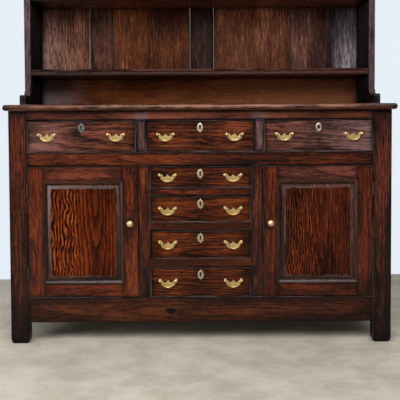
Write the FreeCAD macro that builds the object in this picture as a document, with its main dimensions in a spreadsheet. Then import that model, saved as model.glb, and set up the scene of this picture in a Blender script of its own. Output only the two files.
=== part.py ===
import FreeCAD, Part
import math
import os
import re

import Sketcher

# Oak dresser: an enclosed base with seven drawers and two cupboards under a plate rack.
# Millimetres. X runs to the right, the front faces minus Y, Z is up.
# The origin is on the floor, midway between the ends and between the nose of the top and the back.

SIZES = {
    # Carcass
    "carcass_width": 1390,
    "carcass_depth": 460,
    "foot_height": 79,
    "foot_taper_height": 16,
    "foot_taper": 7,
    "post_width": 66,
    "post_depth": 45,
    "rear_post_width": 48,
    "frame_thickness": 28,
    "bottom_rail_height": 92,
    "middle_rail_height": 49,
    "top_rail_height": 33,
    "upper_muntin_width": 32,
    "upper_muntin_centre": 215,
    "lower_muntin_width": 41,
    "lower_muntin_centre": 205,
    "bank_rail_height": 28,
    "tenon_thickness": 9,
    "tenon_length": 26,
    "tenon_shoulder": 7,
    "tenon_setback": 10,
    "stub_tenon": 15,
    # Ends and back
    "side_setback": 3,
    "side_rail_thickness": 28,
    "side_top_rail_height": 75,
    "panel_thickness": 10,
    "groove_depth": 9,
    "back_rail_height": 60,
    "back_board_thickness": 12,
    "base_board_width": 180,
    "board_seam": 0.6,
    # Inside
    "floor_thickness": 16,
    "bearer_size": 20,
    "partition_thickness": 16,
    "runner_thickness": 20,
    "runner_reach": 22,
    "runner_housing": 5,
    "guide_height": 30,
    # Top board
    "top_thickness": 22,
    "top_front_overhang": 28,
    "top_side_overhang": 12,
    "top_nose_radius": 9,
    # Drawers
    "top_drawer_height": 118,
    "bank_first_height": 82,
    "bank_second_height": 97,
    "bank_third_height": 106,
    "bank_fourth_height": 112,
    "drawer_gap": 1.5,
    "drawer_top_gap": 2.5,
    "drawer_rest_gap": 0.2,
    "drawer_back_room": 20,
    "drawer_front_thickness": 20,
    "drawer_front_lap": 12,
    "drawer_side_thickness": 10,
    "drawer_side_drop": 6,
    "drawer_bottom_thickness": 7,
    "drawer_bottom_lift": 9,
    "drawer_bottom_groove": 5,
    "bead_width": 4,
    "bead_proud": 2,
    # Drawer brasses
    "top_handle_share": 0.628,
    "bank_handle_share": 0.645,
    "top_handle_drop": 53,
    "bank_first_drop": 34,
    "bank_second_drop": 45,
    "bank_third_drop": 44,
    "bank_fourth_drop": 51,
    "handle_post_spacing": 58,
    "handle_post_radius": 4.5,
    "handle_post_reach": 16,
    "handle_pivot_reach": 11.5,
    "handle_boss_radius": 6,
    "handle_shank_radius": 2.4,
    "handle_nut_radius": 6,
    "handle_nut_thickness": 3,
    "hole_clearance": 0.3,
    "plate_thickness": 1.6,
    "plate_drop": 25,
    "plate_hollow": 8,
    "plate_peak": 9,
    "bail_wire": 4.6,
    "bail_half_width": 19,
    "bail_bend_radius": 3.5,
    "bail_drop": 23,
    "bail_tip_reach": 3,
    "escutcheon_drop": 30,
    "escutcheon_width": 24,
    "escutcheon_height": 38,
    "escutcheon_bulge": 4.2,
    "escutcheon_thickness": 1.4,
    "keyhole_radius": 3.4,
    "keyhole_slot": 3.6,
    "keyhole_length": 11,
    "lock_width": 58,
    "lock_height": 42,
    "lock_thickness": 9,
    # Doors
    "door_gap": 2.5,
    "door_thickness": 22,
    "door_stile_face": 55,
    "door_top_rail_face": 55,
    "door_bottom_rail_face": 49,
    "sticking_width": 11,
    "sticking_depth": 8,
    "door_tongue_thickness": 6,
    "door_tongue_depth": 8,
    "door_tongue_setback": 10,
    "panel_edge_gap": 1,
    "panel_bevel_width": 14,
    "panel_field_sink": 2,
    "hinge_height": 48,
    "hinge_inset": 85,
    "hinge_proud": 2.5,
    "hinge_knuckle_radius": 4,
    "hinge_pin_radius": 1.6,
    "hinge_leaf_thickness": 1.6,
    "hinge_leaf_depth": 18,
    "hinge_leaf_split": 0.35,
    "hinge_clearance": 0.5,
    # Door knobs with turn catches
    "knob_radius": 12.5,
    "knob_reach": 24,
    "knob_rose_radius": 10,
    "knob_rose_thickness": 3,
    "knob_neck_radius": 5,
    "knob_neck_length": 6,
    "knob_face_gap": 0.3,
    "knob_rise": 31,
    "spindle_radius": 4,
    "catch_width": 13,
    "catch_thickness": 3,
    "catch_overlap": 12,
    "catch_gap": 0.8,
    # Plate rack
    "rack_depth": 215,
    "rack_side_thickness": 25,
    "rack_side_height": 1050,
    "rack_foot_reach": 85,
    "rack_foot_height": 60,
    "rack_toe_height": 44,
    "rack_toe_radius": 12,
    "shelf_thickness": 24,
    "shelf_housing": 8,
    "shelf_groove_depth": 4,
    "shelf_groove_width": 9,
    "shelf_groove_setback": 45,
    "shelf_edge_hollow": 3,
    "shelf_edge_lip": 6,
    "lower_shelf_height": 124,
    "middle_shelf_height": 420,
    "upper_shelf_height": 715,
    "lower_board_thickness": 20,
    "back_board_first": 206,
    "back_board_second": 97,
    "back_board_third": 326,
    "back_board_centre": 100,
    "back_board_fifth": 326,
    "back_board_sixth": 177,
    "back_board_seventh": 108,
    "centre_board_proud": 6,
    "frieze_height": 70,
    "frieze_thickness": 20,
    "lid_thickness": 15,
    "cornice_height": 60,
    "cornice_projection": 45,
    "cornice_foot": 6,
    "cornice_foot_height": 8,
    "cornice_crown_height": 14,
    "cornice_crown_step": 7,
    "cornice_hollow": 9,
}

doc = FreeCAD.newDocument("dresser")
sheet = doc.addObject("Spreadsheet::Sheet", "sizes")
for row, (size_name, size_value) in enumerate(SIZES.items(), start=1):
    sheet.set(f"A{row}", size_name)
    sheet.set(f"B{row}", str(size_value))
    sheet.setAlias(f"B{row}", size_name)
doc.recompute()

nodes = []
ALONG_X = FreeCAD.Rotation(FreeCAD.Vector(0, 1, 0), 90)
ALONG_Y = FreeCAD.Rotation(FreeCAD.Vector(1, 0, 0), -90)
ALONG_Z = FreeCAD.Rotation()
ON_EDGE = FreeCAD.Rotation(FreeCAD.Vector(0, 1, 0), -45)
# Points of a sketch edge, and the sketch origin
START, END, CENTRE = range(1, 4)
SKETCH_ORIGIN = (-1, START)
NUT_SIDES = 6
KNUCKLES = 3


# Helpers

def cells(formula):
    """Point the size names in a formula at the sheet."""
    return re.sub(r"[a-z_]+", lambda word: "sizes." + word.group(), formula)


def value_of(formula):
    """The number that a formula has now."""
    return float(sheet.evalExpression(cells(formula)))


def bind(item, formulas):
    """Tie properties of an object to formulas of the sheet."""
    for name, formula in formulas.items():
        item.setExpression(name, cells(formula))


def place(item, point, rotation=ALONG_Z):
    """Set an object down at a point given by three formulas."""
    item.Placement = FreeCAD.Placement(FreeCAD.Vector(), rotation)
    bind(item, {"Placement.Base." + axis: formula for axis, formula in zip("xyz", point)})
    return item


def block(low, high):
    """A board from its lowest to its highest corner."""
    board = doc.addObject("Part::Box", "board")
    sides = [f"({top}) - ({bottom})" for bottom, top in zip(low, high)]
    bind(board, dict(zip(("Length", "Width", "Height"), sides)))
    return place(board, low)


def rod(start, radius, length, direction):
    """A round bar from the middle of one end."""
    bar = doc.addObject("Part::Cylinder", "bar")
    bind(bar, {"Radius": radius, "Height": length})
    return place(bar, start, direction)


def cut(base, *tools):
    """Take each tool's shape out of a piece."""
    for tool in tools:
        remainder = doc.addObject("Part::Cut", "cut")
        remainder.Base = base
        remainder.Tool = tool
        base = remainder
    return base


def join(*pieces):
    """Make one solid of pieces that meet."""
    union = doc.addObject("Part::MultiFuse", "union")
    union.Shapes = list(pieces)
    return union


def overlap(first, second):
    """Keep what two shapes share."""
    shared = doc.addObject("Part::Common", "shared")
    shared.Base = first
    shared.Tool = second
    return shared


def mirror(piece):
    """The same piece on the other side of the middle of the dresser."""
    twin = doc.addObject("Part::Mirroring", "twin")
    twin.Source = piece
    twin.Base = FreeCAD.Vector(0, 0, 0)
    twin.Normal = FreeCAD.Vector(1, 0, 0)
    return twin


def node(label, *pieces):
    """Name a sub-part, which is one solid or a group of separate ones."""
    item = pieces[0]
    if len(pieces) > 1:
        item = doc.addObject("Part::Compound", "group")
        item.Links = list(pieces)
    item.Label = label
    nodes.append(item)
    return item


def new_sketch(body, plane_role):
    """A sketch on one of a body's own origin planes."""
    sketch = body.newObject("Sketcher::SketchObject", "outline")
    plane = [feature for feature in body.Origin.OriginFeatures if feature.Role == plane_role][0]
    sketch.AttachmentSupport = (plane, [""])
    sketch.MapMode = "FlatFace"
    return sketch


def arc_between(start, end, radius):
    """The short arc between two points: it turns left where the radius is above zero."""
    chord = end - start
    rise = math.sqrt(max(radius * radius - chord.Length * chord.Length / 4, 0))
    side = FreeCAD.Vector(-chord.y, chord.x, 0).normalize()
    centre = (start + end) / 2 + side * math.copysign(rise, radius)
    first, last = (start, end) if radius > 0 else (end, start)
    angles = [math.atan2((point - centre).y, (point - centre).x) for point in (first, last)]
    circle = Part.Circle(centre, FreeCAD.Vector(0, 0, 1), abs(radius))
    return Part.ArcOfCircle(circle, angles[0], angles[1])


def draw(sketch, corners, closed=True):
    """Draw edges through corners: formulas for across, up and, where an arc leaves, its radius."""
    points = [FreeCAD.Vector(value_of(corner[0]), value_of(corner[1]), 0) for corner in corners]
    count = len(corners) if closed else len(corners) - 1
    ends = []
    for index in range(count):
        start, end = points[index], points[(index + 1) % len(points)]
        radius = corners[index][2] if len(corners[index]) > 2 else None
        if radius is None:
            edge = sketch.addGeometry(Part.LineSegment(start, end))
            ends.append((edge, START, END))
            continue
        turns_left = value_of(radius) > 0
        edge = sketch.addGeometry(arc_between(start, end, value_of(radius)))
        ends.append((edge, START, END) if turns_left else (edge, END, START))
        size = Sketcher.Constraint("Radius", edge, abs(value_of(radius)))
        bind_constraint(sketch, size, f"abs({radius})")
    for index, corner in enumerate(corners):
        edge, first, last = ends[min(index, count - 1)]
        position = first if index < count else last
        pin_point(sketch, edge, position, corner)
        before = ends[index - 1]
        if closed or 0 < index < count:
            sketch.addConstraint(Sketcher.Constraint("Coincident", before[0], before[2], edge, position))


def bowed_radius(across, up, bow):
    """Radius of an arc over a span, given by how far it goes across and up, that bows out by a bow."""
    return f"(({across} * {across} + {up} * {up}) / (8 * {bow}) + {bow} / 2)"


def bind_constraint(sketch, constraint, formula):
    """Add a dimension to a sketch and tie it to a formula."""
    index = sketch.addConstraint(constraint)
    sketch.setExpression(f"Constraints[{index}]", re.sub(r"sizes\.abs", "abs", cells(formula)))


def pin_point(sketch, edge, position, corner):
    """Hold one end of an edge at the across and up formulas of a corner."""
    for kind, formula in zip(("DistanceX", "DistanceY"), corner):
        constraint = Sketcher.Constraint(kind, *SKETCH_ORIGIN, edge, position, value_of(formula))
        bind_constraint(sketch, constraint, formula)


def pad(plane_role, corners, thickness, reversed_way=False):
    """A body of even thickness from one closed outline."""
    body = doc.addObject("PartDesign::Body", "body")
    sketch = new_sketch(body, plane_role)
    draw(sketch, corners)
    feature = body.newObject("PartDesign::Pad", "pad")
    feature.Profile = sketch
    feature.Reversed = reversed_way
    bind(feature, {"Length": thickness})
    return body


# Places that several pieces share

back = "((carcass_depth + top_front_overhang) / 2)"
front = f"({back} - carcass_depth)"
half = "(carcass_width / 2)"
inner = f"({half} - post_width)"
rear_inner = f"({half} - rear_post_width)"
side_inner = f"({half} - side_setback - side_rail_thickness)"
side_outer = f"({half} - side_setback)"
frame_back = f"({front} + frame_thickness)"
front_post_back = f"({front} + post_depth)"
rear_post_front = f"({back} - post_depth)"
board_front = f"({back} - back_board_thickness)"
rear_rail_front = f"({board_front} - frame_thickness)"

bottom_rail_top = "(foot_height + bottom_rail_height)"
bank_heights = ["bank_first_height", "bank_second_height", "bank_third_height", "bank_fourth_height"]
cupboard_height = "(" + " + ".join(bank_heights) + f" + {len(bank_heights) - 1} * bank_rail_height)"
middle_rail_low = f"({bottom_rail_top} + {cupboard_height})"
middle_rail_top = f"({middle_rail_low} + middle_rail_height)"
top_rail_low = f"({middle_rail_top} + top_drawer_height)"
carcass_top = f"({top_rail_low} + top_rail_height)"
base_top = f"({carcass_top} + top_thickness)"
floor_low = f"({bottom_rail_top} - floor_thickness)"
runner_low = f"({middle_rail_top} - runner_thickness)"

upper_near = "(upper_muntin_centre - upper_muntin_width / 2)"
upper_far = "(upper_muntin_centre + upper_muntin_width / 2)"
lower_near = "(lower_muntin_centre - lower_muntin_width / 2)"
lower_far = "(lower_muntin_centre + lower_muntin_width / 2)"
tenon_front = f"({front} + tenon_setback)"
tenon_back = f"({tenon_front} + tenon_thickness)"


# Joints: a tenon is drawn once, joined to its rail and cut from the post that takes it

def rail_tenon(shoulder_at, length, low, high, face, shoulder="tenon_shoulder"):
    """A tenon that enters a post on the right of a rail; face is the front of the rail."""
    return block(
        (shoulder_at, f"{face} + tenon_setback", f"{low} + {shoulder}"),
        (f"{shoulder_at} + {length}", f"{face} + tenon_setback + tenon_thickness", f"{high} - {shoulder}"))


def wide_rail(reach, face, low, high, length):
    """A rail across the dresser with a tenon at each end; returns the rail and its right tenon."""
    tenon = rail_tenon(reach, length, low, high, face)
    bar = block((f"-{reach}", face, low), (reach, f"{face} + frame_thickness", high))
    return join(bar, tenon, mirror(tenon)), tenon


def muntin(near, far, low, high):
    """An upright on the right between two rails; returns it and the bar that forms its two tenons."""
    upright = block((near, front, low), (far, frame_back, high))
    bar = block(
        (f"{near} + tenon_shoulder", tenon_front, f"{low} - stub_tenon"),
        (f"{far} - tenon_shoulder", tenon_back, f"{high} + stub_tenon"))
    return join(upright, bar), bar


def tapered_post(near, post_front, post_back):
    """A post on the right, from the floor to the top, with its foot drawn in at the bottom."""
    shaft = block((near, post_front, "foot_taper_height"), (half, post_back, carcass_top))
    toe = doc.addObject("Part::Wedge", "toe")
    width = f"{half} - {near}"
    depth = f"{post_back} - {post_front}"
    bind(toe, {
        "Xmin": "0", "Xmax": width, "X2min": "foot_taper", "X2max": f"{width} - foot_taper",
        "Zmin": "0", "Zmax": depth, "Z2min": "foot_taper", "Z2max": f"{depth} - foot_taper",
        "Ymin": "0", "Ymax": "foot_taper_height"})
    place(toe, (near, post_front, "foot_taper_height"), ALONG_Y)
    return join(shaft, toe)


# Front frame, posts, ends and back

front_post = tapered_post(inner, front, front_post_back)
rear_post = tapered_post(rear_inner, rear_post_front, back)

top_rail, top_rail_tenon = wide_rail(inner, front, top_rail_low, carcass_top, "tenon_length")
middle_rail, middle_rail_tenon = wide_rail(inner, front, middle_rail_low, middle_rail_top, "tenon_length")
bottom_rail, bottom_rail_tenon = wide_rail(inner, front, "foot_height", bottom_rail_top, "tenon_length")
upper_muntin, upper_bar = muntin(upper_near, upper_far, middle_rail_top, top_rail_low)
lower_muntin, lower_bar = muntin(lower_near, lower_far, bottom_rail_top, middle_rail_low)

back_rail_levels = [
    (f"({carcass_top} - back_rail_height)", carcass_top),
    (middle_rail_low, middle_rail_top),
    ("foot_height", bottom_rail_top)]
back_rails = [
    wide_rail(rear_inner, rear_rail_front, low, high, "stub_tenon")
    for low, high in back_rail_levels]

side_rail_levels = [
    ("foot_height", bottom_rail_top),
    (f"({carcass_top} - side_top_rail_height)", carcass_top)]
side_shoulder = "(groove_depth + tenon_shoulder)"
side_panel_near = f"({side_inner} + (side_rail_thickness - panel_thickness) / 2)"
side_panel = block(
    (side_panel_near, f"{front_post_back} - groove_depth", f"{side_rail_levels[0][1]} - groove_depth"),
    (f"{side_panel_near} + panel_thickness", f"{rear_post_front} + groove_depth",
     f"{side_rail_levels[1][0]} + groove_depth"))
side_rails = []
side_bars = []
for low, high in side_rail_levels:
    side_rail = block((side_inner, front_post_back, low), (side_outer, rear_post_front, high))
    side_bar = block(
        (side_panel_near, f"{front_post_back} - tenon_length", f"{low} + {side_shoulder}"),
        (f"{side_panel_near} + tenon_thickness", f"{rear_post_front} + tenon_length",
         f"{high} - {side_shoulder}"))
    side_rails.append(cut(join(side_rail, side_bar), side_panel))
    side_bars.append(side_bar)

# Drawer bank rails

bank_rails = []
bank_tenons = []
bank_floors = []
level = middle_rail_low
for height in bank_heights:
    opening_low = f"({level} - {height})"
    bank_floors.append(opening_low)
    level = f"({opening_low} - bank_rail_height)"
for opening_low in bank_floors[:-1]:
    bank_rail, bank_tenon = wide_rail(
        lower_near, front, f"({opening_low} - bank_rail_height)", opening_low, "stub_tenon")
    bank_rails.append(bank_rail)
    bank_tenons.append(bank_tenon)

# Runners, guides, floor and partitions

def top_runner(near, far):
    """A runner under the top drawers, housed in the middle rail and in the back rail."""
    return block(
        (near, f"{frame_back} - runner_housing", runner_low),
        (far, f"{rear_rail_front} + runner_housing", middle_rail_top))


middle_runner = top_runner(f"{upper_near} - runner_reach", f"{upper_far} + runner_reach")
end_runner = cut(top_runner(f"{inner} - runner_reach", side_inner), front_post, rear_post)
guide_top = f"{middle_rail_top} + guide_height"
middle_guide = block((upper_near, frame_back, middle_rail_top), (upper_far, rear_rail_front, guide_top))
end_guide = cut(
    block((inner, front_post_back, middle_rail_top), (side_inner, rear_rail_front, guide_top)), rear_post)
bank_runners = [
    block((f"{lower_near} - runner_reach", frame_back, f"{opening_low} - runner_thickness"),
          (lower_near, rear_rail_front, opening_low))
    for opening_low in bank_floors[:-1]]
front_bearer = block(
    (f"-{inner}", frame_back, f"{floor_low} - bearer_size"),
    (inner, f"{frame_back} + bearer_size", floor_low))
rear_bearer = block(
    (f"-{rear_inner}", f"{rear_rail_front} - bearer_size", f"{floor_low} - bearer_size"),
    (rear_inner, rear_rail_front, floor_low))
floor_board = cut(
    block((f"-{side_inner}", frame_back, floor_low), (side_inner, rear_rail_front, bottom_rail_top)),
    front_post, mirror(front_post), rear_post, mirror(rear_post))
partition = block(
    (lower_near, frame_back, bottom_rail_top),
    (f"{lower_near} + partition_thickness", rear_rail_front, runner_low))

# Door on the right, with the hinges that the right post takes

door_near = f"({lower_far} + door_gap)"
door_far = f"({inner} - door_gap)"
door_low = f"({bottom_rail_top} + door_gap)"
door_high = f"({middle_rail_low} - door_gap)"
door_back = f"({front} + door_thickness)"
stile_width = "(door_stile_face + sticking_width)"
light_near = f"({door_near} + {stile_width})"
light_far = f"({door_far} - {stile_width})"
light_low = f"({door_low} + door_bottom_rail_face + sticking_width)"
light_high = f"({door_high} - door_top_rail_face - sticking_width)"
tongue_front = f"({front} + door_tongue_setback)"
tongue_back = f"({tongue_front} + door_tongue_thickness)"
hinge_x = f"({inner} - door_gap / 2)"
hinge_y = f"({front} - hinge_proud)"
knob_x = f"({door_near} + door_stile_face / 2)"
knob_z = f"(({door_low} + {door_high}) / 2 + knob_rise)"


def light_taper(front_margin, back_margin, face, rear):
    """A shape that fills the door's opening, wider than it by one margin in front and by another behind."""
    taper = doc.addObject("Part::Wedge", "taper")
    for prefix, margin in (("", front_margin), ("2", back_margin)):
        bind(taper, {
            f"X{prefix}min": f"{light_near} - ({margin})", f"X{prefix}max": f"{light_far} + ({margin})",
            f"Z{prefix}min": f"{light_low} - ({margin})", f"Z{prefix}max": f"{light_high} + ({margin})"})
    bind(taper, {"Ymin": face, "Ymax": rear})
    return taper


def door_rail(low, high):
    """A door rail between the stiles; returns it and the bar that forms its two tenons."""
    rail = block((light_near, front, low), (light_far, door_back, high))
    bar = block(
        (f"{light_near} - tenon_length", f"{tongue_front}", f"{low} + door_tongue_depth + tenon_shoulder"),
        (f"{light_far} + tenon_length", f"{tongue_back}", f"{high} - door_tongue_depth - tenon_shoulder"))
    return join(rail, bar), bar


def hinge(centre):
    """A butt hinge: its frame leaf, its door leaf with the pin, and the room each side leaves for it."""
    low = f"({centre} - hinge_height / 2)"
    third = f"(hinge_height / {KNUCKLES})"
    leaf_start = f"({hinge_y} + hinge_knuckle_radius + hinge_clearance)"
    leaf_end = f"({front} + hinge_leaf_depth)"
    frame_side = (f"{hinge_x} + hinge_leaf_split", f"{hinge_x} + hinge_leaf_split + hinge_leaf_thickness")
    door_side = (f"{hinge_x} - hinge_leaf_split - hinge_leaf_thickness", f"{hinge_x} - hinge_leaf_split")

    def leaf(side, start, bottom, height):
        return block((side[0], start, bottom), (side[1], leaf_end, f"{bottom} + {height}"))

    def knuckle(step, bore):
        bottom = f"({low} + {step} * {third} + hinge_clearance / 2)"
        height = f"({third} - hinge_clearance)"
        return rod((hinge_x, hinge_y, bottom), bore, height, ALONG_Z), bottom, height

    middle, middle_low, middle_height = knuckle(1, "hinge_knuckle_radius")
    bore = rod((hinge_x, hinge_y, low), "hinge_pin_radius + hole_clearance", "hinge_height", ALONG_Z)
    pin = rod((hinge_x, hinge_y, low), "hinge_pin_radius", "hinge_height", ALONG_Z)
    frame_leaf = join(
        leaf(frame_side, leaf_start, low, "hinge_height"),
        leaf(frame_side, hinge_y, middle_low, middle_height), middle)
    door_pieces = [leaf(door_side, leaf_start, low, "hinge_height"), pin]
    for step in (0, KNUCKLES - 1):
        outer, outer_low, outer_height = knuckle(step, "hinge_knuckle_radius")
        door_pieces += [outer, leaf(door_side, hinge_y, outer_low, outer_height)]
    room = rod(
        (hinge_x, hinge_y, f"{low} - hinge_clearance"), "hinge_knuckle_radius + hinge_clearance",
        "hinge_height + 2 * hinge_clearance", ALONG_Z)
    frame_pocket = block((hinge_x, hinge_y, low), (frame_side[1], leaf_end, f"{low} + hinge_height"))
    door_pocket = block((door_side[0], hinge_y, low), (hinge_x, leaf_end, f"{low} + hinge_height"))
    return cut(frame_leaf, bore), join(*door_pieces), join(room, frame_pocket), join(room, door_pocket)


hinges = [hinge(f"({door_high} - hinge_inset)"), hinge(f"({door_low} + hinge_inset)")]
frame_leaves = [parts[0] for parts in hinges]
door_leaves = [parts[1] for parts in hinges]
post_pockets = [parts[2] for parts in hinges]
stile_pockets = [parts[3] for parts in hinges]

panel_tongue = block(
    (f"{light_near} - door_tongue_depth", tongue_front, f"{light_low} - door_tongue_depth"),
    (f"{light_far} + door_tongue_depth", tongue_back, f"{light_high} + door_tongue_depth"))
raised_field = light_taper(
    "-panel_edge_gap - panel_bevel_width", "-panel_edge_gap", f"{front} + panel_field_sink", tongue_front)
door_panel = join(panel_tongue, raised_field)
sticking = light_taper("sticking_width", "0", front, f"{front} + sticking_depth")
spindle_hole = rod((knob_x, front, knob_z), "spindle_radius + hole_clearance", "door_thickness", ALONG_Y)
top_door_rail, top_door_bar = door_rail(light_high, door_high)
bottom_door_rail, bottom_door_bar = door_rail(door_low, light_low)
hinge_stile = cut(
    block((light_far, front, door_low), (door_far, door_back, door_high)),
    panel_tongue, sticking, top_door_bar, bottom_door_bar, *stile_pockets)
knob_stile = cut(
    block((door_near, front, door_low), (light_near, door_back, door_high)),
    panel_tongue, sticking, top_door_bar, bottom_door_bar, spindle_hole)
door_frame = [
    hinge_stile, knob_stile,
    cut(top_door_rail, panel_tongue, sticking), cut(bottom_door_rail, panel_tongue, sticking)]

# Turned knob with its spindle, and the catch that turns with it behind the door

knob_body = doc.addObject("PartDesign::Body", "knob")
knob_sketch = new_sketch(knob_body, "XY_Plane")
neck_end = "(knob_face_gap + knob_rose_thickness + knob_neck_length)"
knob_half = f"((knob_reach - {neck_end}) / 2)"
dome_radius = f"((knob_radius * knob_radius + {knob_half} * {knob_half}) / (2 * {knob_half}))"
spindle_end = "(frame_thickness + catch_gap + catch_thickness)"
draw(knob_sketch, [
    ("0", spindle_end),
    ("0", "-knob_reach", dome_radius),
    ("knob_radius", f"-{neck_end} - {knob_half}", "knob_radius"),
    ("knob_neck_radius", f"-{neck_end}"),
    ("knob_neck_radius", "-knob_face_gap - knob_rose_thickness"),
    ("knob_rose_radius", "-knob_face_gap - knob_rose_thickness"),
    ("knob_rose_radius", "-knob_face_gap"),
    ("spindle_radius", "-knob_face_gap"),
    ("spindle_radius", spindle_end)])
knob_turning = knob_body.newObject("PartDesign::Revolution", "turning")
knob_turning.Profile = knob_sketch
knob_turning.ReferenceAxis = (knob_sketch, ["V_Axis"])
place(knob_body, (knob_x, front, knob_z))
catch_front = f"({frame_back} + catch_gap)"
catch_length = f"({knob_x} - {lower_far} + catch_overlap)"
catch = block(
    (f"{knob_x} - catch_width / 2", catch_front, f"{knob_z} - {catch_length}"),
    (f"{knob_x} + catch_width / 2", f"{catch_front} + catch_thickness", f"{knob_z} + catch_width / 2"))
door_knob = join(knob_body, catch)

# Carcass nodes

front_post = cut(
    front_post, top_rail_tenon, middle_rail_tenon, bottom_rail_tenon, side_panel, *side_bars, *post_pockets)
rear_post = cut(rear_post, side_panel, *side_bars, *[tenon for rail, tenon in back_rails])
lower_muntin = cut(lower_muntin, *bank_tenons)
upper_bars = [upper_bar, mirror(upper_bar)]
lower_bars = [lower_bar, mirror(lower_bar)]
runner_ends = [middle_runner, mirror(middle_runner), end_runner, mirror(end_runner)]

node("front_post_left", mirror(front_post))
node("front_post_right", front_post)
node("rear_posts", rear_post, mirror(rear_post))
node("front_top_rail", cut(top_rail, *upper_bars))
node("front_middle_rail", cut(middle_rail, *upper_bars, *lower_bars, *runner_ends))
node("front_bottom_rail", cut(bottom_rail, *lower_bars))
node("front_muntins", upper_muntin, mirror(upper_muntin), lower_muntin, mirror(lower_muntin))
node("bank_rails", *bank_rails)
node("side_rails", *side_rails, *[mirror(rail) for rail in side_rails])
node("side_panels", side_panel, mirror(side_panel))
node("back_rails", back_rails[0][0], cut(back_rails[1][0], *runner_ends), back_rails[2][0])
node("cupboard_floor", floor_board)
node("bank_partitions", partition, mirror(partition))
paired_runners = [middle_runner, end_runner, middle_guide, end_guide, *bank_runners]
twin_runners = [mirror(piece) for piece in paired_runners]
node("drawer_runners", *paired_runners, *twin_runners, front_bearer, rear_bearer)

base_board_count = max(1, round(value_of(f"2 * {rear_inner}") / value_of("base_board_width")))
base_board_pitch = f"(2 * {rear_inner} / {base_board_count})"
node("base_back_boards", *[
    block((f"-{rear_inner} + {index} * {base_board_pitch} + board_seam / 2", board_front, "foot_height"),
          (f"-{rear_inner} + {index + 1} * {base_board_pitch} - board_seam / 2", back, carcass_top))
    for index in range(base_board_count)])

# Top board, its front and ends rounded over

top_reach = f"({half} + top_side_overhang)"
top_front = f"({front} - top_front_overhang)"
top_board = pad("XY_Plane", [
    (f"-{top_reach}", top_front), (top_reach, top_front), (top_reach, back), (f"-{top_reach}", back)],
    "top_thickness")
doc.recompute()
plain_top = top_board.Tip
nose_edges = []
for index, edge in enumerate(plain_top.Shape.Edges, start=1):
    is_level = edge.BoundBox.ZLength < value_of("top_nose_radius")
    is_at_back = edge.BoundBox.YMin > value_of(back) - value_of("top_nose_radius")
    if is_level and not is_at_back:
        nose_edges.append(f"Edge{index}")
nose = top_board.newObject("PartDesign::Fillet", "nose")
nose.Base = (plain_top, nose_edges)
bind(nose, {"Radius": "top_nose_radius"})
place(top_board, ("0", "0", carcass_top))
node("dresser_top", top_board)

# Doors

node("door_frame_left", *[mirror(piece) for piece in door_frame])
node("door_frame_right", *door_frame)
node("door_panel_left", mirror(door_panel))
node("door_panel_right", door_panel)
node("door_hinges_left", *[mirror(leaf) for leaf in door_leaves])
node("door_hinges_right", *door_leaves)
node("hinge_frame_leaves", *frame_leaves, *[mirror(leaf) for leaf in frame_leaves])
node("door_knob_left", mirror(door_knob))
node("door_knob_right", door_knob)

# Brasses, each made once about the middle of its handle or keyhole on the face of a drawer

post_half = "(handle_post_spacing / 2)"
bail_tip = f"({post_half} - handle_post_radius + bail_tip_reach)"
bail_bend_end = "(bail_half_width + bail_bend_radius)"
bail_arm_end = "(bail_drop - bail_half_width)"


def copy(master, point):
    """The same piece again at another point."""
    again = doc.addObject("Part::Compound", "copy")
    again.Links = [master]
    return place(again, point)


def chord_radius(rise):
    """Radius of the arc that passes both handle posts and drops below them by a rise."""
    return f"(({post_half} * {post_half} + {rise} * {rise}) / (2 * {rise}))"


def plate_disc(rise):
    """A round disc whose rim passes both handle posts and drops below them by a rise."""
    radius = chord_radius(rise)
    return rod(("0", "-plate_thickness", f"{radius} - {rise}"), radius, "plate_thickness", ALONG_Y)


def make_backplate():
    """A crescent between two round bosses, with a small peak in its hollow."""
    crescent = cut(plate_disc("plate_drop"), plate_disc("plate_hollow"))
    bosses = [
        rod((x, "-plate_thickness", "0"), "handle_boss_radius", "plate_thickness", ALONG_Y)
        for x in (f"-{post_half}", post_half)]
    peak = doc.addObject("Part::Box", "peak")
    bind(peak, {"Length": "plate_peak", "Width": "plate_thickness", "Height": "plate_peak"})
    place(peak, ("0", "-plate_thickness", "-plate_hollow - plate_peak / 2"), ON_EDGE)
    holes = [
        rod((x, "-plate_thickness", "0"), "handle_shank_radius + hole_clearance", "plate_thickness", ALONG_Y)
        for x in (f"-{post_half}", post_half)]
    return cut(join(crescent, peak, *bosses), *holes)


def make_post():
    """A post with the shank that passes through the drawer front, drilled for the bail."""
    stem = rod(
        ("0", "-handle_post_reach", "0"), "handle_post_radius",
        "handle_post_reach - plate_thickness", ALONG_Y)
    shank = rod(
        ("0", "-plate_thickness - hole_clearance", "0"), "handle_shank_radius",
        "plate_thickness + hole_clearance + drawer_front_thickness + handle_nut_thickness", ALONG_Y)
    drilling = rod(
        ("-handle_post_radius", "-handle_pivot_reach", "0"), "bail_wire / 2 + hole_clearance",
        "2 * handle_post_radius", ALONG_X)
    return cut(join(stem, shank), drilling)


def make_nut():
    """The nut that holds a post from inside the drawer."""
    nut = doc.addObject("Part::Prism", "nut")
    nut.Polygon = NUT_SIDES
    bind(nut, {"Circumradius": "handle_nut_radius", "Height": "handle_nut_thickness"})
    place(nut, ("0", "drawer_front_thickness", "0"), ALONG_Y)
    bore = rod(
        ("0", "drawer_front_thickness", "0"), "handle_shank_radius + hole_clearance",
        "handle_nut_thickness", ALONG_Y)
    return cut(nut, bore)


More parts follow.
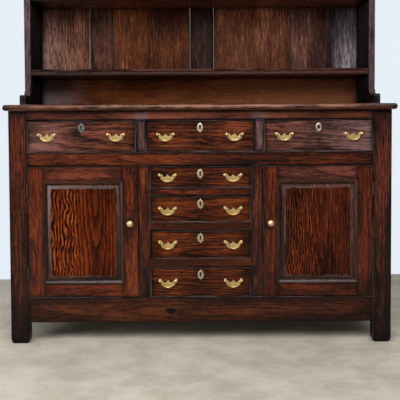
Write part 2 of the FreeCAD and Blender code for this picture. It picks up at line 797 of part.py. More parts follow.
def make_bail():
    """A wire bow that hangs between two posts, its tips turned outward into them."""
    body = doc.addObject("PartDesign::Body", "bail")
    path = new_sketch(body, "XZ_Plane")
    draw(path, [
        (f"-{bail_tip}", "0"),
        (f"-{bail_bend_end}", "0", "-bail_bend_radius"),
        ("-bail_half_width", "-bail_bend_radius"),
        ("-bail_half_width", f"-{bail_arm_end}", "bail_half_width"),
        ("0", "-bail_drop", "bail_half_width"),
        ("bail_half_width", f"-{bail_arm_end}"),
        ("bail_half_width", "-bail_bend_radius", "-bail_bend_radius"),
        (bail_bend_end, "0"),
        (bail_tip, "0")], closed=False)
    section = new_sketch(body, "YZ_Plane")
    bind(section, {"AttachmentOffset.Base.z": f"-{bail_tip}"})
    wire_radius = value_of("bail_wire / 2")
    ring = section.addGeometry(Part.Circle(FreeCAD.Vector(), FreeCAD.Vector(0, 0, 1), wire_radius))
    section.addConstraint(Sketcher.Constraint("Coincident", ring, CENTRE, *SKETCH_ORIGIN))
    bind_constraint(section, Sketcher.Constraint("Radius", ring, wire_radius), "bail_wire / 2")
    bow = body.newObject("PartDesign::AdditivePipe", "bow")
    bow.Profile = section
    bow.Spine = path
    return body


def make_keyhole():
    """The space of a keyhole, through the escutcheon and the drawer front."""
    length = "escutcheon_thickness + drawer_front_thickness"
    eye = rod(("0", "-escutcheon_thickness", "keyhole_length / 2"), "keyhole_radius", length, ALONG_Y)
    slot = block(
        ("-keyhole_slot / 2", "-escutcheon_thickness", "-keyhole_length / 2"),
        ("keyhole_slot / 2", "drawer_front_thickness", "keyhole_length / 2"))
    return join(eye, slot)


def make_escutcheon():
    """A pointed oval plate round the keyhole."""
    side_point = "(escutcheon_width / 2)"
    end_point = "(escutcheon_height / 2)"
    flank = bowed_radius(side_point, end_point, "escutcheon_bulge")
    plate = pad("XZ_Plane", [
        ("0", end_point, flank), (f"-{side_point}", "0", flank),
        ("0", f"-{end_point}", flank), (side_point, "0", flank)],
        "escutcheon_thickness")
    return cut(plate, keyhole)


backplate = make_backplate()
handle_post = make_post()
handle_nut = make_nut()
bail = make_bail()
keyhole = make_keyhole()
escutcheon = make_escutcheon()


# Drawers

def drawer(label, centre, half_width, low, height, share, drop):
    """A drawer with its brasses, in an opening given by its centre, half width, floor and height.

    Its two handles stand a share of the half width from the centre.
    """
    near = f"({centre} - {half_width} + drawer_gap)"
    far = f"({centre} + {half_width} - drawer_gap)"
    bottom = f"({low} + drawer_rest_gap)"
    top = f"({low} + {height} - drawer_top_gap)"
    side_top = f"({top} - drawer_side_drop)"
    front_back = f"({front} + drawer_front_thickness)"
    end = f"({rear_rail_front} - drawer_back_room)"
    near_inside = f"({near} + drawer_side_thickness)"
    far_inside = f"({far} - drawer_side_thickness)"
    board_low = f"({bottom} + drawer_bottom_lift)"
    board_high = f"({board_low} + drawer_bottom_thickness)"
    keyhole_z = f"({low} + {height} - escutcheon_drop)"
    handle_z = f"({low} + {height} - {drop})"
    handle_centres = [f"({centre} {sign} {half_width} * {share})" for sign in "-+"]
    post_centres = [f"({x} {sign} {post_half})" for x in handle_centres for sign in "-+"]

    face = block((near, front, bottom), (far, front_back, top))
    bead = cut(
        block((near, f"{front} - bead_proud", bottom), (far, front, top)),
        block((f"{near} + bead_width", f"{front} - bead_proud", f"{bottom} + bead_width"),
              (f"{far} - bead_width", front, f"{top} - bead_width")))
    sides = [
        block((left, f"{front} + drawer_front_lap", bottom), (right, end, side_top))
        for left, right in ((near, near_inside), (far_inside, far))]
    back_piece = block(
        (near_inside, f"{end} - drawer_side_thickness", board_high), (far_inside, end, side_top))
    bottom_board = block(
        (f"{near_inside} - drawer_bottom_groove", f"{front_back} - drawer_bottom_groove", board_low),
        (f"{far_inside} + drawer_bottom_groove", end, board_high))
    shank_holes = [
        rod((x, front, handle_z), "handle_shank_radius + hole_clearance", "drawer_front_thickness", ALONG_Y)
        for x in post_centres]
    lock_hole = copy(keyhole, (centre, front, keyhole_z))
    face = cut(join(face, bead), *sides, bottom_board, lock_hole, *shank_holes)
    node(label, face, *[cut(side, bottom_board) for side in sides], back_piece, bottom_board)

    plates = [copy(backplate, (x, front, handle_z)) for x in handle_centres]
    fasteners = [
        copy(piece, (x, front, handle_z)) for x in post_centres for piece in (handle_post, handle_nut)]
    lock = block(
        (f"{centre} - lock_width / 2", front_back, f"{keyhole_z} - lock_height / 2"),
        (f"{centre} + lock_width / 2", f"{front_back} + lock_thickness", f"{keyhole_z} + lock_height / 2"))
    node(label + "_brass", *plates, *fasteners, copy(escutcheon, (centre, front, keyhole_z)), lock)
    for side_name, x in zip(("left", "right"), handle_centres):
        node(f"{label}_bail_{side_name}", copy(bail, (x, f"{front} - handle_pivot_reach", handle_z)))


end_drawer_centre = f"(({upper_far} + {inner}) / 2)"
end_drawer_half = f"(({inner} - {upper_far}) / 2)"
top_row = [
    ("drawer_top_left", f"(-{end_drawer_centre})", end_drawer_half),
    ("drawer_top_centre", "0", upper_near),
    ("drawer_top_right", end_drawer_centre, end_drawer_half)]
for label, centre, half_width in top_row:
    drawer(label, centre, half_width, middle_rail_top, "top_drawer_height",
           "top_handle_share", "top_handle_drop")
for name, opening_low in zip(("first", "second", "third", "fourth"), bank_floors):
    drawer(f"drawer_bank_{name}", "0", lower_near, opening_low, f"bank_{name}_height",
           "bank_handle_share", f"bank_{name}_drop")

# Plate rack

rack_front = f"({back} - rack_depth)"
rack_top = f"({base_top} + rack_side_height)"
rack_inner = f"({half} - rack_side_thickness)"
rack_ceiling = f"({rack_top} + lid_thickness)"
shelf_lows = [f"({base_top} + {name}_shelf_height)" for name in ("lower", "middle", "upper")]


def make_shelf(low):
    """A shelf with a hollow along its front edge and a groove that holds plates on edge."""
    high = f"({low} + shelf_thickness)"
    groove_end = f"({board_front} - shelf_groove_setback)"
    groove_start = f"({groove_end} - shelf_groove_width)"
    edge_radius = bowed_radius("0", "(shelf_thickness - 2 * shelf_edge_lip)", "shelf_edge_hollow")
    shelf = pad("YZ_Plane", [
        (board_front, low), (board_front, high),
        (groove_end, high), (groove_end, f"{high} - shelf_groove_depth"),
        (groove_start, f"{high} - shelf_groove_depth"), (groove_start, high),
        (rack_front, high), (rack_front, f"{high} - shelf_edge_lip", f"-{edge_radius}"),
        (rack_front, f"{low} + shelf_edge_lip"), (rack_front, low)],
        f"2 * ({rack_inner} + shelf_housing)")
    return place(shelf, (f"-{rack_inner} - shelf_housing", "0", "0"))


def make_rack_side():
    """The right side board, with a foot that runs forward over the top."""
    toe_front = f"({rack_front} - rack_foot_reach)"
    toe_end = f"({toe_front} + rack_toe_radius)"
    run = "(rack_foot_reach - rack_toe_radius)"
    rise = "(rack_foot_height - rack_toe_height)"
    scoop_radius = f"(({run} * {run} + {rise} * {rise}) / (2 * {rise}))"
    side = pad("YZ_Plane", [
        (back, base_top), (toe_front, base_top),
        (toe_front, f"{base_top} + rack_toe_height - rack_toe_radius", "-rack_toe_radius"),
        (toe_end, f"{base_top} + rack_toe_height", scoop_radius),
        (rack_front, f"{base_top} + rack_foot_height"), (rack_front, rack_top), (back, rack_top)],
        "rack_side_thickness")
    return place(side, (rack_inner, "0", "0"))


def make_back_boards():
    """Upright boards that share the room between the sides by their widths, the middle one thicker."""
    widths = ["back_board_first", "back_board_second", "back_board_third", "back_board_centre",
              "back_board_fifth", "back_board_sixth", "back_board_seventh"]
    total = "(" + " + ".join(widths) + ")"
    left = f"(-{rack_inner})"
    boards = []
    for width in widths:
        right = f"({left} + 2 * {rack_inner} * {width} / {total})"
        face = board_front
        if width == "back_board_centre":
            face = f"({board_front} - centre_board_proud)"
        boards.append(block(
            (f"{left} + board_seam / 2", face, base_top), (f"{right} - board_seam / 2", back, rack_top)))
        left = right
    return boards, boards[widths.index("back_board_centre")]


def make_cornice():
    """The cornice moulding in three mitred lengths: front, right return and left return."""
    low = f"({rack_ceiling} - cornice_height)"
    reach = f"({half} + cornice_projection)"
    cove_rise = "(cornice_height - cornice_foot_height - cornice_crown_height)"
    cove_run = "(cornice_projection - cornice_crown_step - cornice_foot)"
    cove_radius = bowed_radius(cove_run, cove_rise, "cornice_hollow")

    crown_low = f"({rack_ceiling} - cornice_crown_height)"

    def profile(wall, sign, turn):
        return [
            (wall, low), (f"{wall} {sign} cornice_foot", low),
            (f"{wall} {sign} cornice_foot", f"{low} + cornice_foot_height", f"{turn}{cove_radius}"),
            (f"{wall} {sign} (cornice_projection - cornice_crown_step)", crown_low),
            (f"{wall} {sign} cornice_projection", crown_low),
            (f"{wall} {sign} cornice_projection", rack_ceiling), (wall, rack_ceiling)]

    mitre = doc.addObject("Part::Wedge", "mitre")
    bind(mitre, {
        "Xmin": f"-{reach}", "Xmax": reach, "X2min": f"-{half}", "X2max": half,
        "Zmin": low, "Zmax": rack_ceiling, "Z2min": low, "Z2max": rack_ceiling,
        "Ymin": f"{rack_front} - cornice_projection", "Ymax": rack_front})
    front_length = place(
        pad("YZ_Plane", profile(rack_front, "-", ""), f"2 * {reach}"), (f"-{reach}", "0", "0"))
    return_length = place(
        pad("XZ_Plane", profile(half, "+", "-"), "rack_depth + cornice_projection"), ("0", back, "0"))
    return_right = cut(return_length, mitre)
    return [overlap(front_length, mitre), return_right, mirror(return_right)]


shelves = [make_shelf(low) for low in shelf_lows]
back_boards, centre_board = make_back_boards()
rack_side = cut(make_rack_side(), *shelves)
lower_board = block(
    (f"-{rack_inner}", f"{board_front} - lower_board_thickness", base_top),
    (rack_inner, board_front, shelf_lows[0]))
frieze = block(
    (f"-{rack_inner}", rack_front, f"{rack_top} - frieze_height"),
    (rack_inner, f"{rack_front} + frieze_thickness", rack_top))
lid = block((f"-{half}", rack_front, rack_top), (half, back, rack_ceiling))
node("rack_side_left", mirror(rack_side))
node("rack_side_right", rack_side)
node("rack_shelves", *[cut(shelf, centre_board) for shelf in shelves])
node("rack_back_boards", *back_boards)
node("rack_lower_board", cut(lower_board, centre_board))
node("rack_cornice", *make_cornice(), frieze, lid)

# Check every object, then write one file per node

doc.recompute()
for item in doc.Objects:
    if "Invalid" in item.State or "Error" in item.State:
        raise RuntimeError(f"{item.Label} failed: {item.State}")
for item in nodes:
    if item.Shape.isNull() or not item.Shape.isValid() or not item.Shape.Solids:
        raise RuntimeError(f"{item.Label} has no sound shape")
os.makedirs("parts", exist_ok=True)
for item in nodes:
    item.Shape.exportStep(f"parts/{item.Label}.step")
    print(item.Label, len(item.Shape.Solids), "solids")
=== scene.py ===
import math
import random

import bmesh
import bpy
from mathutils import Matrix, Vector


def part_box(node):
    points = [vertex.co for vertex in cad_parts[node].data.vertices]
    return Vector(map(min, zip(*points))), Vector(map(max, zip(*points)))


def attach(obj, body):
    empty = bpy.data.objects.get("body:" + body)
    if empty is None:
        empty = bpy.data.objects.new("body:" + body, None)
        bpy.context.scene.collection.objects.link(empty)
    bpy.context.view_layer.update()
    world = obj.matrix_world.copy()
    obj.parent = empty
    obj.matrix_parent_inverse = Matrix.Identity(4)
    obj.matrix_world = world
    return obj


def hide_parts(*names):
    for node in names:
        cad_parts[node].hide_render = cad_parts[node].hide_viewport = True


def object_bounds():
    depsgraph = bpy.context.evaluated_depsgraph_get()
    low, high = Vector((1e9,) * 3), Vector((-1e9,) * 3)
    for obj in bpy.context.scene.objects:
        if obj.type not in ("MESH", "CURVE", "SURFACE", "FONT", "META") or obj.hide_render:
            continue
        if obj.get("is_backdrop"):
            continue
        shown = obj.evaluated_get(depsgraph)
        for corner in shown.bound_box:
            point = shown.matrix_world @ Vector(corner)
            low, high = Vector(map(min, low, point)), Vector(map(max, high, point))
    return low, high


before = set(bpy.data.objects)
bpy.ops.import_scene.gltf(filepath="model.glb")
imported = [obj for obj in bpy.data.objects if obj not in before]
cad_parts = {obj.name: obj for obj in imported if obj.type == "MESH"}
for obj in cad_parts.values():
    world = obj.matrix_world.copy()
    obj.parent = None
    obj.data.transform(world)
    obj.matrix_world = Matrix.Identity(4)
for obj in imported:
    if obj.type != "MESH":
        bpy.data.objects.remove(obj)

# Dark oak dresser with a plate rack. Metres; X to the right, the front faces minus Y, Z is up.

cad_low, cad_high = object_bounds()
draw = random.Random(417)
MM, TINY = 0.001, 0.00001


# Node trees

class Tree:
    """Short calls for the nodes of one material."""

    def __init__(self, name):
        self.material = bpy.data.materials.new(name)
        self.material.use_nodes = True
        self.nodes = self.material.node_tree.nodes
        self.links = self.material.node_tree.links
        self.shader = self.nodes["Principled BSDF"]
        self.output = self.nodes["Material Output"]

    def node(self, kind, inputs=None, **settings):
        node = self.nodes.new("ShaderNode" + kind)
        for key, value in settings.items():
            setattr(node, key, value)
        for key, value in (inputs or {}).items():
            self.feed(node.inputs[key], value)
        return node

    def add(self, kind, inputs=None, output=0, **settings):
        """A new node's output."""
        return self.node(kind, inputs, **settings).outputs[output]

    def feed(self, socket, value):
        if isinstance(value, bpy.types.NodeSocket):
            self.links.new(value, socket)
        else:
            socket.default_value = value

    def math(self, operation, first, second=0.0, third=0.0, clamp=False):
        return self.add("Math", {0: first, 1: second, 2: third}, operation=operation, use_clamp=clamp)

    def times(self, first, second):
        return self.math("MULTIPLY", first, second)

    def vector(self, operation, first, second):
        return self.add("VectorMath", {0: first, 1: second}, operation=operation)

    def attribute(self, name, output="Vector"):
        return self.add("Attribute", output=output, attribute_name=name)

    def split(self, vector):
        return self.node("SeparateXYZ", {0: vector}).outputs

    def noise(self, vector, scale, detail=3.0, roughness=0.55, output="Fac"):
        return self.add("TexNoise", {"Vector": vector, "Scale": scale, "Detail": detail,
                                     "Roughness": roughness}, output)

    def wave(self, vector, scale, kind, axis, distortion, detail, profile="SIN"):
        direction = {kind.lower() + "_direction": axis}
        return self.add("TexWave", {"Vector": vector, "Scale": scale, "Distortion": distortion,
                                    "Detail": detail, "Detail Scale": 1.4, "Detail Roughness": 0.6},
                        "Fac", wave_type=kind, wave_profile=profile, **direction)

    def remap(self, value, low, high, new_low=0.0, new_high=1.0, smooth=True):
        return self.add("MapRange", {"Value": value, "From Min": low, "From Max": high,
                                     "To Min": new_low, "To Max": new_high},
                        interpolation_type="SMOOTHSTEP" if smooth else "LINEAR")

    def ramp(self, value, places, colours):
        node = self.node("ValToRGB", {0: value})
        elements = node.color_ramp.elements
        while len(elements) < len(places):
            elements.new(0.5)
        for element, place, colour in zip(elements, places, colours):
            element.position = place
            element.color = (*colour, 1.0)
        return node.outputs[0]

    def mix(self, factor, first, second, mode="MIX"):
        node = self.node("Mix", data_type="RGBA", blend_type=mode)
        self.feed(node.inputs[0], factor)
        for index, value in ((6, first), (7, second)):
            self.feed(node.inputs[index], (*value, 1.0) if isinstance(value, tuple) else value)
        return node.outputs[2]

    def occlusion(self, distance):
        return self.add("AmbientOcclusion", {"Distance": distance}, "AO", samples=8)

    def bump(self, height, strength, distance, **over):
        return self.add("Bump", {"Height": height, "Strength": strength, "Distance": distance, **over})

    def finish(self, **sockets):
        for name, value in sockets.items():
            self.feed(self.shader.inputs[name.replace("_", " ")], value)
        return self.material


# Materials

# How far rings stray, how stretched they run along a board, and how dark the painted shade in a crevice is
WANDER, STRETCH, CREVICE_SHADE = 0.03, 0.16, 0.8
WAX_DARK, BLEACH = (0.006, 0.004, 0.003), (1.9, 1.75, 2.0)
SHADE_PLACES, SHADE_UNIT = (0.20, 0.36, 0.50, 0.64, 0.82), 0.0001


def oak(name, shades, rings=34.0, ring_part=0.20, noise_part=1.0, tilt=0.16, flame=None, gloss=(0.20, 0.34),
        rim=0.032, rim_dark=0.5, seam=0.35, worn=(0.30, 0.25, 0.23), worn_part=0.7, shine=0.16, along=None):
    """Old waxed oak.

    Boards of the scene carry their own grain, span, half, tone and wear attributes; the last gives pale
    lines that are partly real wear and partly painted highlight. A carried-over CAD node has none, so
    along then names the axis that its grain follows. A flame is strength, scale, the share of the width
    where its bold streaks end, and how far they lean.
    """
    t = Tree(name)
    own = along is None
    if own:
        grain = t.attribute("grain")
        span, half = t.attribute("span"), t.attribute("half")
        here = t.split(t.vector("MULTIPLY", span, half))
        tree = t.split(grain)
        slow_run = t.times(here[0], STRETCH)
        rooted = t.add("CombineXYZ", {0: slow_run, 1: tree[1], 2: tree[2]})
    else:
        place = t.split(t.add("TexCoord", output="Object"))
        order = {"x": (0, 1, 2), "y": (1, 0, 2), "z": (2, 0, 1)}[along]
        grain = t.add("CombineXYZ", {axis: place[order[axis]] for axis in range(3)})
        rooted = t.vector("MULTIPLY", grain, (STRETCH, 1.0, 1.0))

    def layer(along_grain, across, detail=3.0, roughness=0.55, output="Fac"):
        """Noise of a scale along the grain and another across it."""
        stretched = t.vector("MULTIPLY", grain, (along_grain, across, across))
        return t.noise(stretched, 1.0, detail, roughness, output)

    drift = t.vector("SUBTRACT", layer(2.2, 9.0, output="Color"), (0.5, 0.5, 0.5))
    bent = t.vector("ADD", rooted, t.vector("MULTIPLY", drift, (0.0, WANDER, WANDER)))
    tilted = t.add("Mapping", {"Vector": bent, "Rotation": (0.0, tilt, 0.22)})
    ring = t.remap(t.wave(tilted, rings, "RINGS", "X", 1.2, 2.0, "SAW"), 0.0, 0.9)
    fibre = t.remap(layer(26.0, 260.0, 5.0, 0.68), 0.30, 0.70)
    fleck = t.remap(layer(40.0, 200.0, 4.0, 0.6), 0.32, 0.68)
    streak = t.remap(layer(14.0, 115.0, 4.0, 0.6), 0.30, 0.70)
    pore = t.remap(layer(34.0, 520.0, 2.0, 0.5), 0.56, 0.72)
    patch = t.remap(layer(2.6, 8.0, 4.0, 0.6), 0.30, 0.70)
    value = t.times(ring, ring_part)
    for noise, part in ((fibre, 0.32), (fleck, 0.22), (streak, 0.20)):
        value = t.math("MULTIPLY_ADD", noise, part * noise_part, value)
    value = t.math("MULTIPLY_ADD", patch, 0.42 - ring_part, value)
    value = t.math("SUBTRACT", value, 0.08 - 0.37 * (1.0 - noise_part))
    if flame:
        strength, scale, edge_at, lean = flame
        zigzag = t.split(layer(14.0, 34.0, roughness=0.6, output="Color"))
        slow = layer(3.0, 16.0, 2.0)
        climb = t.math("PINGPONG", t.math("MULTIPLY_ADD", slow, 0.16, tree[0]), 0.050)
        shift = t.math("MULTIPLY_ADD", zigzag[1], 0.026, t.times(climb, lean))
        licked = t.add("CombineXYZ", {0: t.times(tree[0], 0.12), 1: t.math("ADD", tree[1], shift)})
        tongue = t.remap(t.wave(licked, scale, "BANDS", "Y", 2.0, 3.0), 0.20, 0.62, -0.9, 0.5)
        broken = t.remap(layer(24.0, 60.0), 0.32, 0.58, 0.25, 1.0)
        side = t.remap(t.split(span)[1], edge_at - 0.07, edge_at + 0.07, 1.0, 0.06)
        tongue = t.times(t.times(tongue, broken), side)
        value = t.math("MULTIPLY_ADD", tongue, strength, value)
    # Painted shade: ambient occlusion darkens the colour in crevices, corners and narrow gaps
    dirt_and_shade = t.remap(t.occlusion(0.030), 0.25, 0.95, 1.0 - CREVICE_SHADE, 1.0)
    if own:
        tone = t.split(t.attribute("tone"))
        value = t.math("ADD", value, tone[0])
        # Each board darkens towards its edges and along a thin seam at them: partly old dirt, partly painted
        # shade of the gaps between parts
        off_middle = t.add("VectorMath", {0: span}, operation="ABSOLUTE")
        far = t.split(t.vector("MULTIPLY", half, t.vector("SUBTRACT", (1.0, 1.0, 1.0), off_middle)))
        edge = t.math("MINIMUM", t.times(far[0], 0.40), far[1])
        ragged = t.math("MULTIPLY_ADD", t.math("SUBTRACT", patch, 0.5), 0.030, edge)
        dirt_and_shade = t.times(dirt_and_shade, t.remap(ragged, 0.002, rim, 1.0 - rim_dark, 1.0))
        dirt_and_shade = t.times(dirt_and_shade, t.remap(edge, 0.0, 0.006, seam, 1.0))
    colours = [[SHADE_UNIT * channel for channel in shade] for shade in shades]
    colour = t.ramp(value, SHADE_PLACES, colours)
    colour = t.mix(t.times(pore, 0.5), colour, WAX_DARK)
    if own:
        pale = t.add("RGBToBW", {0: colour})
        colour = t.mix(tone[1], colour, t.mix(1.0, pale, BLEACH, "MULTIPLY"))
    colour = t.mix(1.0, colour, dirt_and_shade, "MULTIPLY")
    if own:
        # Pale lines on rounded edges and beads: partly real wear, partly painted highlight
        rub_and_sheen = t.times(t.remap(layer(9.0, 30.0), 0.38, 0.62), t.attribute("wear_and_sheen", "Fac"))
        colour = t.mix(t.times(rub_and_sheen, worn_part), colour, worn)
    rough = t.remap(fibre, 0.0, 1.0, gloss[0], gloss[1], False)
    height = t.math("MULTIPLY_ADD", pore, -0.5, t.times(ring, 0.2))
    height = t.math("MULTIPLY_ADD", fibre, 0.4, height)
    fine = t.bump(height, 0.35, 0.0006)
    wavy = t.bump(t.noise(grain, 9.0, 2.0), 0.25, 0.004, Normal=fine)
    return t.finish(Base_Color=colour, Roughness=rough, Normal=wavy, Specular_IOR_Level=shine)


def metal(name, bright, dull, gloss, tarnish, metallic=1.0):
    """Old metal, rubbed bright on top and dull in its hollows."""
    t = Tree(name)
    place = t.add("TexCoord", output="Object")
    blotch = t.noise(place, 90.0, 4.0, 0.6)
    fine = t.noise(place, 700.0, 3.0, 0.6)
    closed = t.remap(t.occlusion(0.006), 0.35, 0.9, 1.0, 0.0)
    dullness = t.math("MULTIPLY_ADD", t.remap(blotch, 0.42, 0.72), tarnish, closed, clamp=True)
    colour = t.mix(dullness, bright, dull)
    uneven = t.math("MULTIPLY_ADD", fine, 0.4, t.times(blotch, 0.6))
    rough = t.remap(uneven, 0.3, 0.7, gloss[0], gloss[1])
    return t.finish(Base_Color=colour, Roughness=rough, Metallic=metallic, Normal=t.bump(fine, 0.12, 0.0004))


# Meshes

def put(name, data):
    """A new object in the scene."""
    item = bpy.data.objects.new(name, data)
    bpy.context.scene.collection.objects.link(item)
    return item


class Piece:
    """One object of the scene, made of closed parts that carry their grain as attributes."""

    def __init__(self, name, body, slot, *materials):
        self.name, self.body, self.slot, self.materials = name, body, slot, materials
        self.draw = random.Random(name)
        self.points, self.faces, self.face_materials = [], [], []
        self.values = {"grain": [], "span": [], "half": [], "tone": [], "wear_and_sheen": []}

    def add(self, part, along="x", tone=(0.0, 0.0), heart=None, worn=None, material=0):
        """Take over a part.

        The tone is brightness and bleaching, or gives them for a point. The heart is where the middle
        of the tree lay, across and behind the part.
        """
        part.verts.index_update()
        columns = list(zip(*(v.co for v in part.verts)))
        low, high = Vector([min(c) for c in columns]), Vector([max(c) for c in columns])
        middle, half = (low + high) / 2, (high - low) / 2
        first = "xyz".index(along)
        rest = sorted((i for i in range(3) if i != first), key=lambda i: -half[i])
        order = (first, *rest)
        start = self.draw.uniform(0.0, 9.0)
        if heart is None:
            heart = (self.draw.uniform(-0.7, 0.7) * half[rest[0]], self.draw.uniform(0.02, 0.09))
        offset = len(self.points)
        for v in part.verts:
            local = [(v.co - middle)[i] for i in order]
            self.points.append(tuple(v.co))
            self.values["grain"].append((local[0] + start, local[1] + heart[0], local[2] + heart[1]))
            self.values["span"].append(tuple(local[i] / max(half[order[i]], TINY) for i in range(3)))
            self.values["half"].append(tuple(half[i] for i in order))
            bright, bleached = tone(v.co) if callable(tone) else tone
            self.values["tone"].append((bright, bleached, 0.0))
            inside = all(min(v.co[i] - low[i], high[i] - v.co[i]) > TINY for i in range(3))
            self.values["wear_and_sheen"].append(worn(v.co) if worn else float(inside))
        for face in part.faces:
            self.faces.append([offset + v.index for v in face.verts])
            self.face_materials.append(material(face) if callable(material) else material)
        part.free()

    def board(self, low, high, along, bevel, **how):
        self.add(box(low, high, bevel), along, **how)

    def make(self, *nodes, smooth=35.0):
        """Build the object, let it ride on its body and stand for CAD nodes."""
        mesh = bpy.data.meshes.new(self.name)
        mesh.from_pydata(self.points, [], self.faces)
        for name, values in self.values.items():
            layer = mesh.attributes.new(name, "FLOAT" if name == "wear_and_sheen" else "FLOAT_VECTOR", "POINT")
            if name == "wear_and_sheen":
                layer.data.foreach_set("value", values)
            else:
                layer.data.foreach_set("vector", [c for value in values for c in value])
        for material in self.materials:
            mesh.materials.append(material)
        mesh.polygons.foreach_set("material_index", self.face_materials)
        mesh.polygons.foreach_set("use_smooth", [True] * len(mesh.polygons))
        mesh.set_sharp_from_angle(angle=math.radians(smooth))
        mesh.update()
        piece = put(self.name, mesh)
        weighted = piece.modifiers.new("flat faces", "WEIGHTED_NORMAL")
        weighted.keep_sharp = True
        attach(piece, self.body)
        if nodes:
            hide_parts(*nodes)


def box(low, high, bevel):
    """A board with worn edges, given by its lowest and highest corners."""
    low, high = Vector(low), Vector(high)
    part = bmesh.new()
    bmesh.ops.create_cube(part, size=1.0)
    bmesh.ops.scale(part, vec=high - low, verts=part.verts)
    bmesh.ops.translate(part, vec=(low + high) / 2, verts=part.verts)
    return round_edges(part, part.edges[:], bevel, 2)


def round_edges(part, edges, bevel, segments):
    """Round some edges of a part by a bevel in millimetres."""
    bmesh.ops.bevel(part, geom=edges, offset=bevel * MM, segments=segments, profile=0.5, affect="EDGES",
                    clamp_overlap=True)
    return part


def loft(loops, bevel=0.0, segments=2, keep=None, ring=False):
    """A closed part through loops of points; keep picks the edges that a bevel rounds.

    A ring goes on from its last loop to its first, and any other part is capped at both ends.
    """
    part = bmesh.new()
    rows = [[part.verts.new(point) for point in loop] for loop in loops]
    for before, after in zip(rows, rows[1:] + rows[:1] if ring else rows[1:]):
        for index in range(len(before)):
            following = (index + 1) % len(before)
            part.faces.new((before[index], before[following], after[following], after[index]))
    if not ring:
        part.faces.new(rows[0][::-1])
        part.faces.new(rows[-1])
    bmesh.ops.recalc_face_normals(part, faces=part.faces[:])
    if bevel:
        round_edges(part, [edge for edge in part.edges if keep is None or keep(edge)], bevel, segments)
    return part


def cut(whole, *places):
    """Cross lines at these x, so that tone and wear can change along a part.

    They are drawn on a copy, because after a bevel new faces come in another order in each run.
    """
    part = whole.copy()
    whole.free()
    for x in places:
        bmesh.ops.bisect_plane(part, geom=part.verts[:] + part.edges[:] + part.faces[:],
                               plane_co=(x, 0.0, 0.0), plane_no=(1.0, 0.0, 0.0))
    return part


def prism(outline, axis, start, end, **how):
    """An outline of two coordinates drawn out along an axis."""
    index = "xyz".index(axis)
    return loft([[(*point[:index], at, *point[index:]) for point in outline] for at in (start, end)], **how)


def rectangle(a0, a1, b0, b1, inset=0.0):
    """The corners of a rectangle that is drawn in all round by an inset."""
    a0, a1, b0, b1 = a0 + inset, a1 - inset, b0 + inset, b1 - inset
    return [(a0, b0), (a1, b0), (a1, b1), (a0, b1)]


def mitred(x0, x1, z0, z1, face, profile):
    """The mitred lengths of a moulding round an opening; its profile is inset and y from a face, in mm."""
    rings = []
    for inset, y in profile:
        rings.append([(x, face + y * MM, z) for x, z in rectangle(x0, x1, z0, z1, inset * MM)])
    for start, along in enumerate("xzxz"):
        yield loft([[ring[corner] for ring in rings] for corner in (start, (start + 1) % 4)]), along


def lathe(x, face, z, profile, count):
    """A turned part round an axis along Y; the profile is radius and y from a face, in mm."""
    turns = [2 * math.pi * i / count for i in range(count)]
    ring = [(math.cos(turn) * MM, math.sin(turn) * MM) for turn in turns]
    return loft([[(x + r * across, face + y * MM, z + r * up) for across, up in ring] for r, y in profile])


PLUG_STEPS, PLUG_PROUD, PLUG_DEPTH = 20, 0.15 * MM, 1.0 * MM


def plug(x, z, half_x, half_z, face, ragged=0.0):
    """A small flat oval let into a face that looks to minus Y."""
    outline = []
    for step in range(PLUG_STEPS):
        angle = 2 * math.pi * step / PLUG_STEPS
        reach = 1.0 + draw.uniform(-ragged, ragged)
        outline.append((x + half_x * reach * math.cos(angle) * MM, z + half_z * reach * math.sin(angle) * MM))
    return prism(outline, "y", face - PLUG_PROUD, face + PLUG_DEPTH)


def smooth_outline(points, steps):
    """Points along a closed curve that passes through the given ones."""
    result = []
    count = len(points)
    for i in range(count):
        p0, p1, p2, p3 = (Vector(points[(i + k) % count]) for k in (-1, 0, 1, 2))
        for step in range(steps):
            s = step / steps
            result.append(tuple(0.5 * (2 * p1 + (p2 - p0) * s + (2 * p0 - 5 * p1 + 4 * p2 - p3) * s * s
                                       + (3 * p1 - p0 - 3 * p2 + p3) * s ** 3)))
    return result


def dress(node, material):
    """Give a CAD node that shows as it is its finish."""
    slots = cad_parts[node].data.materials
    slots.clear()
    slots.append(material)


# Finishes: five shades from dark to light for each kind of oak, in ten-thousandths

frame_oak = oak(
    "oak_frame", [(100, 35, 28), (290, 68, 34), (620, 125, 46), (1040, 200, 58), (1650, 350, 90)],
    noise_part=0.8, rim=0.022, seam=0.15, worn_part=0.35)
plinth_oak = oak(
    "oak_plinth", [(90, 36, 30), (220, 66, 36), (460, 115, 46), (760, 180, 60), (1200, 300, 90)],
    noise_part=0.75, rim=0.046, rim_dark=0.65, worn=(0.24, 0.2, 0.18), worn_part=0.6)
door_oak = oak(
    "oak_door", [(150, 40, 28), (420, 82, 34), (840, 150, 46), (1300, 240, 64), (1950, 420, 100)],
    noise_part=0.8, rim=0.014, rim_dark=0.35, seam=0.45, worn_part=0.4)
drawer_oak = oak(
    "oak_drawer", [(110, 38, 26), (340, 80, 34), (740, 155, 46), (1240, 260, 66), (2000, 460, 105)],
    ring_part=0.26, noise_part=0.8, rim=0.02, rim_dark=0.55, worn=(0.24, 0.21, 0.21), worn_part=0.45,
    shine=0.09)
left_panel_oak = oak(
    "oak_panel_left", [(90, 26, 16), (300, 52, 18), (740, 102, 21), (1300, 200, 32), (2350, 470, 75)],
    rings=26.0, ring_part=0.26, noise_part=0.72, tilt=0.5, flame=(0.48, 25.0, -0.15, 0.24), rim=0.03,
    rim_dark=0.25, worn_part=0.32, shine=0.06)
right_panel_oak = oak(
    "oak_panel_right", [(70, 26, 20), (230, 50, 24), (540, 100, 34), (940, 165, 44), (1800, 340, 70)],
    noise_part=0.8, tilt=0.4, flame=(0.42, 34.0, -0.04, 0.1), rim=0.03, rim_dark=0.25, worn_part=0.32,
    shine=0.06)
